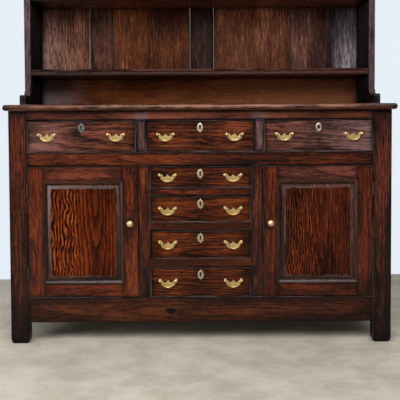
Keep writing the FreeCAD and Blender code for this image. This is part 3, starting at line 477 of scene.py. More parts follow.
bevel_oak = oak(
    "oak_bevel", [(60, 28, 24), (160, 48, 32), (360, 90, 46), (640, 155, 66), (1200, 320, 130)],
    rim_dark=0.0, seam=1.0, worn=(0.26, 0.19, 0.17), worn_part=0.32, gloss=(0.24, 0.38), shine=0.29)
# Its worn colour is the orange of the painted highlight along the front nose
top_oak = oak(
    "oak_top", [(180, 70, 50), (520, 150, 70), (1050, 270, 90), (1750, 460, 140), (2550, 800, 270)],
    gloss=(0.16, 0.28), worn=(0.46, 0.19, 0.11), worn_part=0.45, rim_dark=0.3, shine=0.32)
rack_oak = oak(
    "oak_rack", [(90, 45, 45), (240, 85, 70), (500, 140, 90), (850, 230, 130), (1300, 410, 240)],
    rim_dark=0.4, worn=(0.17, 0.085, 0.07), worn_part=0.45, shine=0.08)
boards_oak = oak(
    "oak_boards", [(140, 45, 26), (400, 112, 46), (820, 225, 80), (1320, 400, 145), (3400, 1260, 560)],
    ring_part=0.1, noise_part=0.7, gloss=(0.36, 0.52), rim=0.018, rim_dark=0.35, worn=(0.26, 0.24, 0.25),
    shine=0.03)
skirting_oak = oak(
    "oak_skirting", [(240, 70, 30), (550, 150, 50), (1020, 280, 80), (1500, 430, 120), (2100, 660, 210)],
    ring_part=0.1, noise_part=0.6, gloss=(0.4, 0.56), rim=0.014, rim_dark=0.3, worn_part=0.3, shine=0.02)
side_oak = oak(
    "oak_side", [(100, 40, 30), (280, 90, 50), (620, 170, 80), (1050, 280, 100), (1600, 460, 150)],
    gloss=(0.3, 0.46), worn_part=0.5)
# Painted shade: a darker oak for the inner faces of the rack's uprights
painted_shade_oak = oak(
    "oak_painted_shade", [(60, 32, 32), (100, 50, 48), (180, 85, 78), (280, 125, 110), (420, 185, 160)],
    gloss=(0.6, 0.76), worn_part=0.0, shine=0.0)
lining_oak = oak(
    "oak_lining", [(400, 220, 130), (850, 500, 280), (1450, 880, 500), (2050, 1300, 750), (2800, 1850, 1100)],
    gloss=(0.55, 0.72), rim_dark=0.35)
INSIDE_SHADES = [(300, 170, 100), (650, 370, 210), (1100, 660, 380), (1600, 980, 570), (2200, 1400, 850)]
inside_oak = {axis: oak(f"oak_inside_{axis}", INSIDE_SHADES, gloss=(0.58, 0.75), along=axis)
              for axis in "xyz"}
brass = metal("brass", (0.76, 0.56, 0.25), (0.27, 0.16, 0.058), (0.27, 0.45), 0.45)
knob_brass = metal("knob_brass", (0.82, 0.59, 0.34), (0.34, 0.21, 0.1), (0.38, 0.54), 0.4)
plate_brass = metal("keyhole_brass", (0.56, 0.47, 0.32), (0.15, 0.11, 0.065), (0.3, 0.48), 0.5)
silvered = metal("silvered_brass", (0.17, 0.185, 0.18), (0.05, 0.05, 0.05), (0.34, 0.5), 0.7)
iron = metal("iron", (0.05, 0.045, 0.042), (0.03, 0.02, 0.015), (0.42, 0.62), 0.7, 0.85)
# Near-black, for painted shade in keyholes and old slots
shadow_iron = metal("painted_shade_iron", (0.012, 0.011, 0.01), (0.006, 0.005, 0.005), (0.5, 0.7), 0.5, 0.6)


# Places read from the frame

left_post, right_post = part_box("front_post_left"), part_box("front_post_right")
front, post_inner = left_post[0].y, right_post[0].x
top_low, top_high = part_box("dresser_top")
carcass_top, base_top = top_low.z, top_high.z
top_rail, middle_rail, bottom_rail = (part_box(f"front_{name}_rail") for name in ("top", "middle", "bottom"))
frame_back = top_rail[1].y

# Brightness and bleaching of single members, where one is lighter or darker than its neighbours

TONES = {"post": {"left": (-0.1, 0.0), "right": (-0.08, 0.1)},
         # The top rail is lighter: partly its own tone, partly painted light where the nose above shades it
         "rail": {"top": (0.22, 0.1), "middle": (-0.01, 0.0), "bottom": (0.02, 0.0)},
         "muntins": ((-0.02, 0.5), (0.1, 0.5), (-0.08, 0.0), (0.08, 0.1)),
         "dividers": ((-0.03, 0.0), (0.13, 0.0), (0.03, 0.0)),
         "door": {"left": ((-0.08, 0.0), (-0.07, 0.0), (-0.13, 0.0), (0.06, 0.1)),
                  "right": ((-0.05, 0.0), (-0.16, 0.0), (-0.06, 0.0), (0.05, 0.2))},
         "panel": {"left": (-0.04, 0.0), "right": (-0.07, 0.0)},
         "drawers": (((0.23, 0.4), (-0.13, 0.05)), ((-0.02, 0.05), (0.1, 0.05)),
                     ((-0.1, 0.2), (0.14, 0.55)), ((-0.12, 0.0), (-0.03, 0.0)), ((0.0, 0.0), (0.15, 0.0)),
                     ((0.04, 0.0), (-0.04, 0.0)), ((-0.08, 0.0), (-0.17, 0.0)))}

# Front frame: posts with worn feet, rails between their shoulders, muntins and bank rails

POST_HEART, RAIL_HEART = (0.02, 0.05), (0.01, 0.045)
FOOT_TAPER, FOOT_TAPER_HEIGHT = 7 * MM, 16 * MM
# A post is darkest up to one height and has its own tone from the other
FOOT_DARK, FOOT_FADE, FOOT_SHADE = 75 * MM, 180 * MM, 0.17


def foot_tone(point, tone):
    """A post darkens towards the floor."""
    share = (FOOT_FADE - point.z) / (FOOT_FADE - FOOT_DARK)
    return tone[0] - FOOT_SHADE * max(0.0, min(1.0, share)), tone[1]


def post(low, high):
    """A corner post whose foot is drawn in at the floor."""
    loops = []
    for z, inset in ((low.z, FOOT_TAPER), (low.z + FOOT_TAPER_HEIGHT * 0.45, FOOT_TAPER * 0.3),
                     (low.z + FOOT_TAPER_HEIGHT, 0.0), (low.z + FOOT_DARK, 0.0), (low.z + FOOT_FADE, 0.0),
                     (high.z, 0.0)):
        loops.append([(x, y, z) for x, y in rectangle(low.x, high.x, low.y, high.y, inset)])
    return loft(loops, bevel=1.8, keep=lambda edge: edge.calc_face_angle(0.0) > 0.5)


for side, limits in (("left", left_post), ("right", right_post)):
    corner = Piece(f"corner_post_{side}", "carcass", "oak_frame", frame_oak)
    corner.add(post(*limits), "z", tone=lambda p: foot_tone(p, TONES["post"][side]), heart=POST_HEART,
               worn=lambda p: float(p.z > FOOT_DARK and all(
                   limits[0][i] + TINY < p[i] < limits[1][i] - TINY for i in range(2))))
    corner.make(f"front_post_{side}")

rear = Piece("rear_corner_posts", "carcass", "oak_frame", side_oak)
rear_low, rear_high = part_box("rear_posts")
REAR_POST_WIDTH = 48 * MM
rear.add(post(rear_low, Vector((rear_low.x + REAR_POST_WIDTH, rear_high.y, rear_high.z))), "z")
rear.add(post(Vector((rear_high.x - REAR_POST_WIDTH, rear_low.y, rear_low.z)), rear_high), "z")
rear.make("rear_posts")

KNOT = {"x": -111 * MM, "z": 120 * MM, "half_x": 17.0, "half_z": 12.0, "ragged": 0.2}
KNOT_TONE = (-0.5, 0.0)
# A muntin's near and far sides, from the middle of the dresser
UPPER_MUNTIN, LOWER_MUNTIN = (199 * MM, 231 * MM), (184.5 * MM, 225.5 * MM)
CROSSING_TONE, CROSSING_FADE = (0.18, 0.55), 20 * MM


def rail_tone(point, name):
    """The top rail is rubbed grey where it crosses the muntins."""
    if name == "top" and UPPER_MUNTIN[0] - 2 * MM < abs(point.x) < UPPER_MUNTIN[1] + 2 * MM:
        return CROSSING_TONE
    return TONES["rail"][name]


for name, limits in (("top", top_rail), ("middle", middle_rail), ("bottom", bottom_rail)):
    rail = Piece(f"front_rail_{name}", "carcass", "oak_frame", plinth_oak if name == "bottom" else frame_oak)
    bar = box((-post_inner, front, limits[0].z), (post_inner, frame_back, limits[1].z), bevel=1.6)
    if name == "top":
        fade = (-CROSSING_FADE, 0.0, CROSSING_FADE)
        bar = cut(bar, *(sign * (x + lap) for sign in (-1, 1) for x in UPPER_MUNTIN for lap in fade))
    # A pale line along each rail's front top edge: partly wear, partly a painted highlight where it faces up
    rail.add(bar, "x",
             worn=lambda p: float(front + 0.1 * MM < p.y < front + 1.5 * MM and p.z > limits[1].z - 1.5 * MM),
             tone=lambda p: rail_tone(p, name), heart=RAIL_HEART)
    if name == "bottom":
        rail.add(plug(face=front, **KNOT), "x", tone=KNOT_TONE)
    rail.make(f"front_{name}_rail")

muntins = Piece("muntins", "carcass", "oak_frame", frame_oak)
muntin_tones = iter(TONES["muntins"])
for (near, far), low, high in ((UPPER_MUNTIN, middle_rail[1].z, top_rail[0].z),
                               (LOWER_MUNTIN, bottom_rail[1].z, middle_rail[0].z)):
    for x0, x1 in ((-far, -near), (near, far)):
        muntins.board((x0, front, low), (x1, frame_back, high), "z", bevel=1.6, tone=next(muntin_tones))
muntins.make("front_muntins")

BANK = ("first", "second", "third", "fourth")
TOP_GAP, REST_GAP = 2.5 * MM, 0.2 * MM
dividers = Piece("bank_dividers", "carcass", "oak_frame", door_oak)
for upper, lower, tone in zip(BANK, BANK[1:], TONES["dividers"]):
    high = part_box(f"drawer_bank_{upper}")[0].z - REST_GAP
    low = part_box(f"drawer_bank_{lower}")[1].z + TOP_GAP
    dividers.board((-LOWER_MUNTIN[0], front, low), (LOWER_MUNTIN[0], frame_back, high), "x", bevel=1.4,
                   tone=tone)
dividers.make("bank_rails")

# Ends: two rails and a panel between the posts; upright boards at the back

SIDE_RAIL, SIDE_TOP_RAIL, PANEL_INSET, SEAM_SHIFT = 28 * MM, 75 * MM, 9 * MM, 30 * MM
end_low, end_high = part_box("side_panels")
ends = Piece("end_rails", "carcass", "oak_frame", side_oak)
end_panels = Piece("end_panels", "carcass", "oak_panel", side_oak)
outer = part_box("side_rails")[1].x
rail_front, rail_back = left_post[1].y, rear_low.y
for sign in (-1, 1):
    x0, x1 = sorted((sign * (outer - SIDE_RAIL), sign * outer))
    for z0, z1 in ((bottom_rail[0].z, bottom_rail[1].z), (carcass_top - SIDE_TOP_RAIL, carcass_top)):
        ends.board((x0, rail_front, z0), (x1, rail_back, z1), "y", bevel=1.4)
    face = sign * (outer - PANEL_INSET)
    p0, p1 = sorted((face, sign * (outer - SIDE_RAIL + PANEL_INSET)))
    seam_y = 0.5 * (rail_front + rail_back) + SEAM_SHIFT
    for y0, y1 in ((end_low.y, seam_y), (seam_y, end_high.y)):
        end_panels.board((p0, y0, end_low.z), (p1, y1, end_high.z), "z", bevel=0.7)
ends.make("side_rails")
end_panels.make("side_panels")

back_low, back_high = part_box("base_back_boards")
backs = Piece("base_backing", "carcass", "oak_inside", lining_oak)
BASE_BOARDS, HALF_GAP, DARKEST_BOARD = 7, 0.3 * MM, -0.16
pitch = (back_high.x - back_low.x) / BASE_BOARDS
for index in range(BASE_BOARDS):
    backs.board((back_low.x + index * pitch + HALF_GAP, back_low.y, back_low.z),
                (back_low.x + (index + 1) * pitch - HALF_GAP, back_high.y, back_high.z), "z", bevel=0.9,
                tone=(draw.uniform(DARKEST_BOARD, 0.0), 0.0))
backs.make("base_back_boards")
for name, axis in (("back_rails", "x"), ("cupboard_floor", "x"), ("bank_partitions", "z"),
                   ("drawer_runners", "y")):
    dress(name, inside_oak[axis])

# Top board with a rounded nose on its front and ends

NOSE = 9.0
# The nose of each end is darker than the rest
TOP_TONE, TOP_END_TONE, END_FROM = (0.06, 0.0), (-0.28, 0.0), 700 * MM
# Cross lines, from the middle: the front nose has a painted highlight up to the inner, and none from the
# outer on
HIGHLIGHT_HALF, PLAIN_FROM = 450 * MM, 680 * MM
HIGHLIGHT_DEPTH, HIGHLIGHT_LIFT = 3.5 * MM, 9 * MM


def is_nose(edge):
    a, b = (v.co for v in edge.verts)
    at_back = min(a.y, b.y) > top_high.y - TINY
    return abs(a.z - b.z) < TINY and not at_back


# Painted highlight: a pale orange line along the middle of the front nose
def nose_highlight(point):
    on_nose = point.y < top_low.y + HIGHLIGHT_DEPTH and point.z > top_low.z + HIGHLIGHT_LIFT
    return float(on_nose and abs(point.x) < (HIGHLIGHT_HALF + PLAIN_FROM) / 2)


corners = rectangle(top_low.x, top_high.x, top_low.y, top_high.y)
worktop = Piece("top_board", "carcass", "oak_top", top_oak)
faces = [[(x, y, z) for x, y in corners] for z in (top_low.z, top_high.z)]
slab = loft(faces, bevel=NOSE, segments=6, keep=is_nose)
slab = cut(slab, *(sign * x for x in (HIGHLIGHT_HALF, PLAIN_FROM) for sign in (-1, 1)))
worktop.add(slab, "x", worn=nose_highlight, tone=lambda p: TOP_TONE if abs(p.x) < END_FROM else TOP_END_TONE)
worktop.make("dresser_top", smooth=50.0)

# Doors: stiles, rails, an ovolo round the opening, and a fielded panel

STILE, TOP_RAIL, BOTTOM_RAIL, DOOR_THICK = 55 * MM, 55 * MM, 49 * MM, 22 * MM
OVOLO = [(0, 22), (0, 0), (1.2, 0), (1.5, 0.9), (3.4, 1.8), (6, 3.2), (8.4, 4.6), (10.2, 5.9), (11, 7.2),
         (11, 22)]
FIELD = [(-8, 16), (-8, 8.2), (1.2, 8.2), (5.6, 6.7), (10.2, 5), (14.6, 3.4), (15, 2.2), (16.2, 1.9)]
STICKING = 11 * MM
PANEL_HEARTS = {"left": (-0.048, 0.03), "right": (-0.02, 0.03)}
# The ovolo round each panel is darkened as painted shade, and its front rim has a pale line of wear and
# painted highlight
OVOLO_SHADE, OVOLO_WEAR_AND_SHEEN = (-0.1, 0.0), 0.5
# Painted sheen and shade on a panel's bevel, as tones at its corners: low left, low right, high left, high
# right
BEVEL_PAINTED_LIGHT = {"left": ((0.0, 0.1), (-0.48, 0.0), (0.52, 0.6), (0.28, 0.3)),
               "right": ((-0.2, 0.0), (0.05, 0.1), (-0.05, 0.0), (0.25, 0.3))}
# Old marks near the knobs: place from the knob, half size, tone; the shadow of a lost plate and filled holes
DOOR_MARKS = {"left": [(0.0, 43.0, 15.0, 20.0, -0.03, 0.10), (10.0, -30.0, 2.6, 3.2, -0.6, 0.0),
                       (-10.0, -31.0, 2.0, 2.4, -0.5, 0.0)],
              "right": [(6.0, -27.0, 2.6, 2.6, -0.6, 0.0), (-18.0, 16.0, 2.4, 2.8, -0.6, 0.0)]}
for side, panel_finish in (("left", left_panel_oak), ("right", right_panel_oak)):
    low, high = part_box(f"door_frame_{side}")
    rear_y = front + DOOR_THICK
    shades = TONES["door"][side]
    x0, x1, z0, z1 = low.x + STILE, high.x - STILE, low.z + BOTTOM_RAIL, high.z - TOP_RAIL
    stiles = Piece(f"door_stiles_{side}", f"door_{side}", "oak_frame", door_oak, bevel_oak)

    # A pale line round the door's front rim: partly wear, partly a painted highlight on the edge
    def on_rim(p):
        gap = min(p.x - low.x, high.x - p.x, p.z - low.z, high.z - p.z)
        return float(0.05 * MM < gap < 1.0 * MM and front + 0.05 * MM < p.y < front + 1.0 * MM)

    for a, b, tone in ((low.x, x0, shades[0]), (x1, high.x, shades[1])):
        stiles.board((a, front, low.z), (b, rear_y, high.z), "z", bevel=1.2, tone=tone, worn=on_rim)
    for a, b, tone in ((low.z, z0, shades[2]), (z1, high.z, shades[3])):
        stiles.board((x0, front, a), (x1, rear_y, b), "x", bevel=0.5, tone=tone, worn=on_rim)
    for part, along in mitred(x0, x1, z0, z1, front, OVOLO):
        stiles.add(part, along, tone=OVOLO_SHADE, material=1,
                   worn=lambda p: OVOLO_WEAR_AND_SHEEN * float(p.y < front + 0.5 * MM))
    knob_low, knob_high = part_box(f"door_knob_{side}")
    knob = (knob_low + knob_high) / 2
    for dx, dz, half_x, half_z, *tone in DOOR_MARKS[side]:
        stiles.add(plug(knob.x + dx * MM, knob.z + dz * MM, half_x, half_z, front), "z", tone=tone)
    stiles.make(f"door_frame_{side}")
    loops = []
    for inset, y in FIELD:
        corners = rectangle(x0, x1, z0, z1, STICKING + inset * MM)
        loops.append([(x, front + y * MM, z) for x, z in corners])
    panel = Piece(f"door_fielded_panel_{side}", f"door_{side}", "oak_panel", panel_finish, bevel_oak)

    def panel_tone(p):
        # The bevel's tone is painted light: paler and greyer towards the corners that face the light, darker
        # towards the others
        if front + 3.5 * MM < p.y < front + 8.0 * MM:
            return BEVEL_PAINTED_LIGHT[side][int(p.x > (x0 + x1) / 2) + 2 * int(p.z > (z0 + z1) / 2)]
        return TONES["panel"][side]

    # A pale line round the field's step: partly wear, partly a painted highlight
    panel.add(loft(loops), "z", tone=panel_tone, heart=PANEL_HEARTS[side],
              worn=lambda p: float(front + 2.1 * MM < p.y < front + 3.6 * MM),
              material=lambda face: int(-0.99 < face.normal.y < -0.5))
    panel.make(f"door_panel_{side}", smooth=28.0)

for name in ("door_hinges_left", "door_hinges_right", "hinge_frame_leaves"):
    dress(name, iron)

# Drawers: beaded front, sides, back and bottom

FRONT_THICK, SIDE_THICK, SIDE_DROP = 20 * MM, 10 * MM, 6 * MM
BOTTOM_LIFT, BOTTOM_THICK, BOTTOM_GROOVE = 9 * MM, 7 * MM, 5 * MM
BEAD = [(0, 1), (0, -0.9), (0.5, -1.6), (1.3, -1.95), (2.2, -2), (3.2, -1.6), (3.8, -0.9), (4, 1)]
# A bead's top is darkened as painted shade under the gap above it
BEAD_ZONE, BEAD_TONE, BEAD_TOP_SHADE = 5 * MM, (-0.05, 0.0), (-0.35, 0.0)


def bead_wear_and_sheen(point, low_z, high_z):
    """A bead's pale line of wear and painted highlight: strongest at its ends, less along its foot and least
    along its top.
    """
    if point.y > front - 1.4 * MM:
        return 0.0
    return 0.25 if point.z > high_z - BEAD_ZONE else 0.6 if point.z < low_z + BEAD_ZONE else 1.0


# Shares of a front's width and the brightness there: light by the handles, dark round the keyhole
FRONT_WEAR = ((0.0, 0.0), (0.1, 0.02), (0.25, 0.05), (0.4, -0.07), (0.5, -0.13), (0.6, -0.07), (0.75, 0.05),
              (0.9, 0.02), (1.0, 0.0))


def front_tone(share, left, right):
    """A drawer front's tone at a share of its width, between those of its ends."""
    worn = 0.0
    for (a, rise), (b, next_rise) in zip(FRONT_WEAR, FRONT_WEAR[1:]):
        if a <= share <= b:
            worn = rise + (next_rise - rise) * (share - a) / (b - a)
    return left[0] + (right[0] - left[0]) * share + worn, left[1] + (right[1] - left[1]) * share


drawers = [f"drawer_top_{name}" for name in ("left", "centre", "right")]
drawers += [f"drawer_bank_{name}" for name in BANK]
for label, (left, right) in zip(drawers, TONES["drawers"]):
    low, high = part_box(label)
    inner_y, end = front + FRONT_THICK, high.y
    side_top = high.z - SIDE_DROP
    board_low = low.z + BOTTOM_LIFT
    chest = Piece(label + "_box", label, "oak_drawer", drawer_oak, lining_oak)
    lines = [low.x + (high.x - low.x) * share for share, _ in FRONT_WEAR[1:-1]]
    chest.add(cut(box((low.x, front, low.z), (high.x, inner_y, high.z), bevel=0.6), *lines), "x",
              tone=lambda p: front_tone((p.x - low.x) / (high.x - low.x), left, right))
    # The bead has painted shade along its top, and pale lines of wear and painted highlight
    for part, along in mitred(low.x, high.x, low.z, high.z, front, BEAD):
        chest.add(part, along, worn=lambda p: bead_wear_and_sheen(p, low.z, high.z),
                  tone=lambda p: BEAD_TOP_SHADE if p.z > high.z - BEAD_ZONE else BEAD_TONE)
    for a, b in ((low.x, low.x + SIDE_THICK), (high.x - SIDE_THICK, high.x)):
        chest.board((a, inner_y, low.z), (b, end, side_top), "y", bevel=0.8, material=1)
    chest.board((low.x + SIDE_THICK, end - SIDE_THICK, board_low + BOTTOM_THICK),
                (high.x - SIDE_THICK, end, side_top), "x", bevel=0.8, material=1)
    chest.board((low.x + SIDE_THICK - BOTTOM_GROOVE, inner_y - BOTTOM_GROOVE, board_low),
                (high.x - SIDE_THICK + BOTTOM_GROOVE, end, board_low + BOTTOM_THICK), "x", bevel=0.6,
                material=1)
    chest.make(label)

# Brasses: cut plates, turned posts with nuts, keyhole plates with lock cases behind

# Outlines and turnings in millimetres
HALF_PLATE = [(0, 2), (2.4, -1), (6, -4.8), (10, -7), (14.2, -7), (18.2, -4.8), (21.6, -1), (24.6, 3.2),
              (28, 5.6), (32, 4.8), (34.6, 1.4), (34.4, -2.6), (31.8, -5.8), (28.2, -7.4), (26, -10.4),
              (24.4, -14.6), (21, -19.2), (15.6, -23.2), (8.4, -25.6)]
PLATE_OUTLINE = smooth_outline(HALF_PLATE + [(0.0, -26.4)] + [(-x, z) for x, z in HALF_PLATE[:0:-1]], 3)
POST_TURNING = [(2.4, 23), (2.4, -1.6), (5.7, -1.6), (5.9, -2.3), (4.6, -3), (3.5, -4.6), (3.4, -6.8),
                (4.3, -8), (5.3, -9.6), (5.7, -11.5), (5.3, -13.6), (4.2, -15.2), (2.4, -16.2),
                (0.4, -16.5)]
PLATE_THICK, POST_HALF, BAIL_RADIUS = 1.6 * MM, 29 * MM, 2.3 * MM
NUT_RADIUS, NUT_THICK = 6 * MM, 3 * MM
LOCK_HALF_X, LOCK_HALF_Z, LOCK_DEEP = 29 * MM, 21 * MM, 9 * MM
KEY_STEPS, KEY_SEARCH, ESCUTCHEON_DROP = 72, 0.05, 30 * MM
# Half sizes of keyhole plates and of an oval hole; a pointed plate's hole is a round over a slot
OVAL_PLATE, POINTED_PLATE, OVAL_HOLE = (10.8, 15.4), (10.4, 15.0), (4.8, 8.4)
# How square a pointed plate is, and how long and how narrow the tips at its sides and ends are
SQUARED, SIDE_TIP, SIDE_NARROW, END_TIP, END_NARROW = 2.5, 2.2, 90, 4.2, 160
HOLE_RADIUS, HOLE_LIFT, SLOT_HALF, SLOT_FOOT = 4.2, 4.6, 2.6, -9.0
# Share of the way from a plate's rim to its hole, and y; then how far the painted shade in a keyhole goes
# beyond the hole, and its faces in y
PLATE_DOME = [(0, 0.1), (0, -0.7), (0.12, -1.25), (0.45, -1.6), (0.85, -1.45), (1, -1.1), (1, 0.1)]
HOLE_SHADE_MARGIN, HOLE_SHADE_FACES = 0.8, (-0.25, 2.0)


def oval(angle, half_x, half_z, power=2.0):
    """How far an oval reaches at an angle; a higher power squares it."""
    return (abs(math.cos(angle) / half_x) ** power + abs(math.sin(angle) / half_z) ** power) ** (-1 / power)


def plate_radius(angle, form):
    """How far a keyhole plate reaches at an angle; a pointed one has tips all round."""
    if form == "oval":
        return oval(angle, *OVAL_PLATE)
    across, up = abs(math.cos(angle)), abs(math.sin(angle))
    tips = SIDE_TIP * across ** SIDE_NARROW + END_TIP * up ** END_NARROW
    return oval(angle, *POINTED_PLATE, SQUARED) + tips


def key_radius(angle, form):
    """How far the keyhole reaches at an angle."""
    if form == "oval":
        return oval(angle, *OVAL_HOLE)
    reach = 0.0
    while True:
        x, z = reach * math.cos(angle), reach * math.sin(angle)
        in_slot = abs(x) < SLOT_HALF and SLOT_FOOT < z < HOLE_LIFT
        if math.hypot(x, z - HOLE_LIFT) > HOLE_RADIUS and not in_slot:
            return reach
        reach += KEY_SEARCH


def key_loop(x, y, z, reach):
    """Points round a keyhole, as far out as reach gives for an angle."""
    loop = []
    for step in range(KEY_STEPS):
        angle = 2 * math.pi * (step + 0.5) / KEY_STEPS
        far = reach(angle)
        loop.append((x + far * math.cos(angle) * MM, front + y * MM, z + far * math.sin(angle) * MM))
    return loop


def keyhole_plate(x, z, form):
    """A domed plate with a keyhole through it."""
    loops = []
    for share, y in PLATE_DOME:
        loops.append(key_loop(x, y, z, lambda angle: plate_radius(angle, form) * (1 - share)
                              + key_radius(angle, form) * share))
    return loft(loops, ring=True)


def keyhole_shadow(x, z, form):
    """Painted shade: a near-black plug that fills a keyhole, at the face of the drawer front."""
    return loft([key_loop(x, y, z, lambda angle: key_radius(angle, form) + HOLE_SHADE_MARGIN) for y in HOLE_SHADE_FACES])


def is_front_rim(edge):
    return all(v.co.y < front - PLATE_THICK + 0.01 * MM for v in edge.verts)


FORMS = {"drawer_top_right": "oval"}
OLD_SLOTS, OLD_SLOT_DROP, OLD_SLOT_HALF = ("drawer_bank_second", "drawer_bank_fourth"), 36 * MM, (6.0, 1.5)
back_face = front + FRONT_THICK
for label in drawers:
    low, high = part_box(label)
    centre = (low.x + high.x) / 2
    key_z = high.z + TOP_GAP - ESCUTCHEON_DROP
    key_metal = silvered if label == "drawer_top_left" else plate_brass
    fittings = Piece(label + "_fittings", label, "brass", brass, iron, shadow_iron, key_metal)
    for side in ("left", "right"):
        bail_low, bail_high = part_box(f"{label}_bail_{side}")
        x, z = (bail_low.x + bail_high.x) / 2, bail_high.z - BAIL_RADIUS
        outline = [(x + px * MM, z + pz * MM) for px, pz in PLATE_OUTLINE]
        fittings.add(prism(outline, "y", front, front - PLATE_THICK, bevel=0.45, keep=is_front_rim))
        for sign in (-1, 1):
            post_x = x + sign * POST_HALF
            fittings.add(lathe(post_x, front, z, POST_TURNING, 24))
            turns = [math.pi * k / 3 for k in range(6)]
            nut = [(post_x + NUT_RADIUS * math.cos(a), z + NUT_RADIUS * math.sin(a)) for a in turns]
            fittings.add(prism(nut, "y", back_face, back_face + NUT_THICK, bevel=0.4), material=1)
        dress(f"{label}_bail_{side}", brass)
    form = FORMS.get(label, "pointed")
    fittings.add(keyhole_plate(centre, key_z, form), material=3)
    fittings.add(keyhole_shadow(centre, key_z, form), material=2)
    if label in OLD_SLOTS:
        # An old slot, a near-black plug of painted shade
        fittings.add(plug(centre, key_z - OLD_SLOT_DROP, *OLD_SLOT_HALF, front), material=2)
    fittings.board((centre - LOCK_HALF_X, back_face, key_z - LOCK_HALF_Z),
                   (centre + LOCK_HALF_X, back_face + LOCK_DEEP, key_z + LOCK_HALF_Z), "x", bevel=1.2,
                   material=1)
    fittings.make(label + "_brass", smooth=40.0)
for side in ("left", "right"):
    dress(f"door_knob_{side}", knob_brass)

# Plate rack: sides with shaped feet, moulded shelves, boards behind, frieze and cornice

side_low, side_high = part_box("rack_side_right")
lower_low, lower_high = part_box("rack_lower_board")
rack_front, rack_back, rack_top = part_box("rack_shelves")[0].y, side_high.y, side_high.z
rack_inner, back_y = side_low.x, lower_high.y
FOOT = [(2, 0), (0, 3), (0, 32), (1.2, 37.2), (4.4, 41.2), (9, 43.6), (15, 44.2), (24, 43.2), (34, 41.6),
        (44, 41.2), (55, 42.6), (64, 45.4), (71, 49), (74.5, 52), (76, 55.5), (76, 59), (78, 62.4),
        (82, 64)]
FOOT_TOP = 65 * MM
UPRIGHT_TONE, UPRIGHT_WEAR = (0.0, 0.55), 0.5
profile = [(rack_back, base_top)] + [(side_low.y + y * MM, base_top + z * MM) for y, z in FOOT]
profile += [(rack_front, base_top + FOOT_TOP), (rack_front, rack_top), (rack_back, rack_top)]
for side, (x0, x1) in (("left", (-side_high.x, -side_low.x)), ("right", (side_low.x, side_high.x))):
    upright = Piece(f"rack_upright_{side}", "carcass", "oak_rack", rack_oak, painted_shade_oak)
    middle = (x0 + x1) / 2
    # The inner side faces take the darker oak, as painted shade
    upright.add(prism(profile, "x", x0, x1, bevel=1.6), "z", tone=UPRIGHT_TONE,
                worn=lambda p: UPRIGHT_WEAR * (p.y < rack_front + 2 * MM and abs(p.x - middle) > 10 * MM),
                material=lambda face: int(face.normal.x * math.copysign(1.0, x0) < -0.9))
    upright.make(f"rack_side_{side}")

SHELF_EDGE = [(1.4, 0), (0, -1.4), (0, -4.6), (0.8, -5.8), (2.5, -8), (3, -12), (2.5, -16), (0.8, -18.2),
              (0, -19.4), (0, -22.8), (1.2, -24)]
PLATE_GROOVE = [(-45, 0), (-46, -3.4), (-49.5, -4), (-53, -3.4), (-54, 0)]
SHELF_THICK, MIDDLE_SHELF, UPPER_SHELF = 24 * MM, 444 * MM, 739 * MM
# Shelves are greyer from the left cross line to the left end
SHELF_CUT, SHELF_LEFT = 300 * MM, -400 * MM
SHELF_TONE, SHELF_LEFT_TONE = (0.20, 0.0), (0.10, 0.30)
shelves = Piece("plate_shelves", "carcass", "oak_rack", rack_oak)
for z in (lower_high.z + SHELF_THICK, base_top + MIDDLE_SHELF, base_top + UPPER_SHELF):
    outline = [(back_y, z)] + [(back_y + y * MM, z + dz * MM) for y, dz in PLATE_GROOVE]
    outline += [(rack_front + y * MM, z + dz * MM) for y, dz in SHELF_EDGE] + [(back_y, z - SHELF_THICK)]
    plank = cut(prism(outline, "x", -rack_inner, rack_inner), -SHELF_CUT, SHELF_CUT)
    shelves.add(plank, "x", tone=lambda p: SHELF_LEFT_TONE if p.x < SHELF_LEFT else SHELF_TONE,
                worn=lambda p: float(p.y < rack_front + 0.9 * MM and p.z > z - 6 * MM))
shelves.make("rack_shelves")

# Width of each board, and the tones of its left and right edges
BOARDS = [(206, (0.22, 0.34), (0.13, 0.1)), (97, (-0.06, 0.2), (-0.12, 0.18)),
          (326, (-0.06, 0.0), (-0.12, 0.0)), (100, (-0.34, 0.3), (-0.34, 0.3)),
          (326, (0.11, 0.06), (0.11, 0.06)), (177, (-0.02, 0.22), (-0.06, 0.25)),
          (108, (0.0, 0.8), (0.19, 0.95))]
REAR_TONE, REAR_DEPTH = (-0.06, 0.15), 4 * MM
PROUD_BOARD, PROUD = 3, 6 * MM
RUBBED_BOARD, RUBBED_EDGE, RUBBED_TONE = 0, 7 * MM, (0.90, 0.9)
NAIL = [(1.4, 8), (1.4, -0.1), (3.4, -0.1), (3, -1), (1.6, -1.5), (0.3, -1.6)]
NAILS = [(134 * MM, 1055 * MM), (210 * MM, 1055 * MM)]
boards = Piece("rack_backing", "carcass", "oak_boards", boards_oak, iron)
x = -rack_inner
scale = 2 * rack_inner / sum(width for width, left, right in BOARDS)
for index, (width, left, right) in enumerate(BOARDS):
    proud = PROUD if index == PROUD_BOARD else 0.0
    end = x + width * scale

    def board_tone(p):
        if p.y > rack_back - REAR_DEPTH:
            return REAR_TONE
        if index == RUBBED_BOARD and p.x > end - RUBBED_EDGE / 2:
            return RUBBED_TONE
        return left if p.x < (x + end) / 2 else right

    board = box((x + HALF_GAP, back_y - proud, base_top), (end - HALF_GAP, rack_back, rack_top), bevel=1.6)
    boards.add(cut(board, end - RUBBED_EDGE), "z", tone=board_tone)
    x = end
for nail_x, nail_z in NAILS:
    boards.add(lathe(nail_x, back_y, nail_z, NAIL, 12), material=1)
boards.make("rack_back_boards")
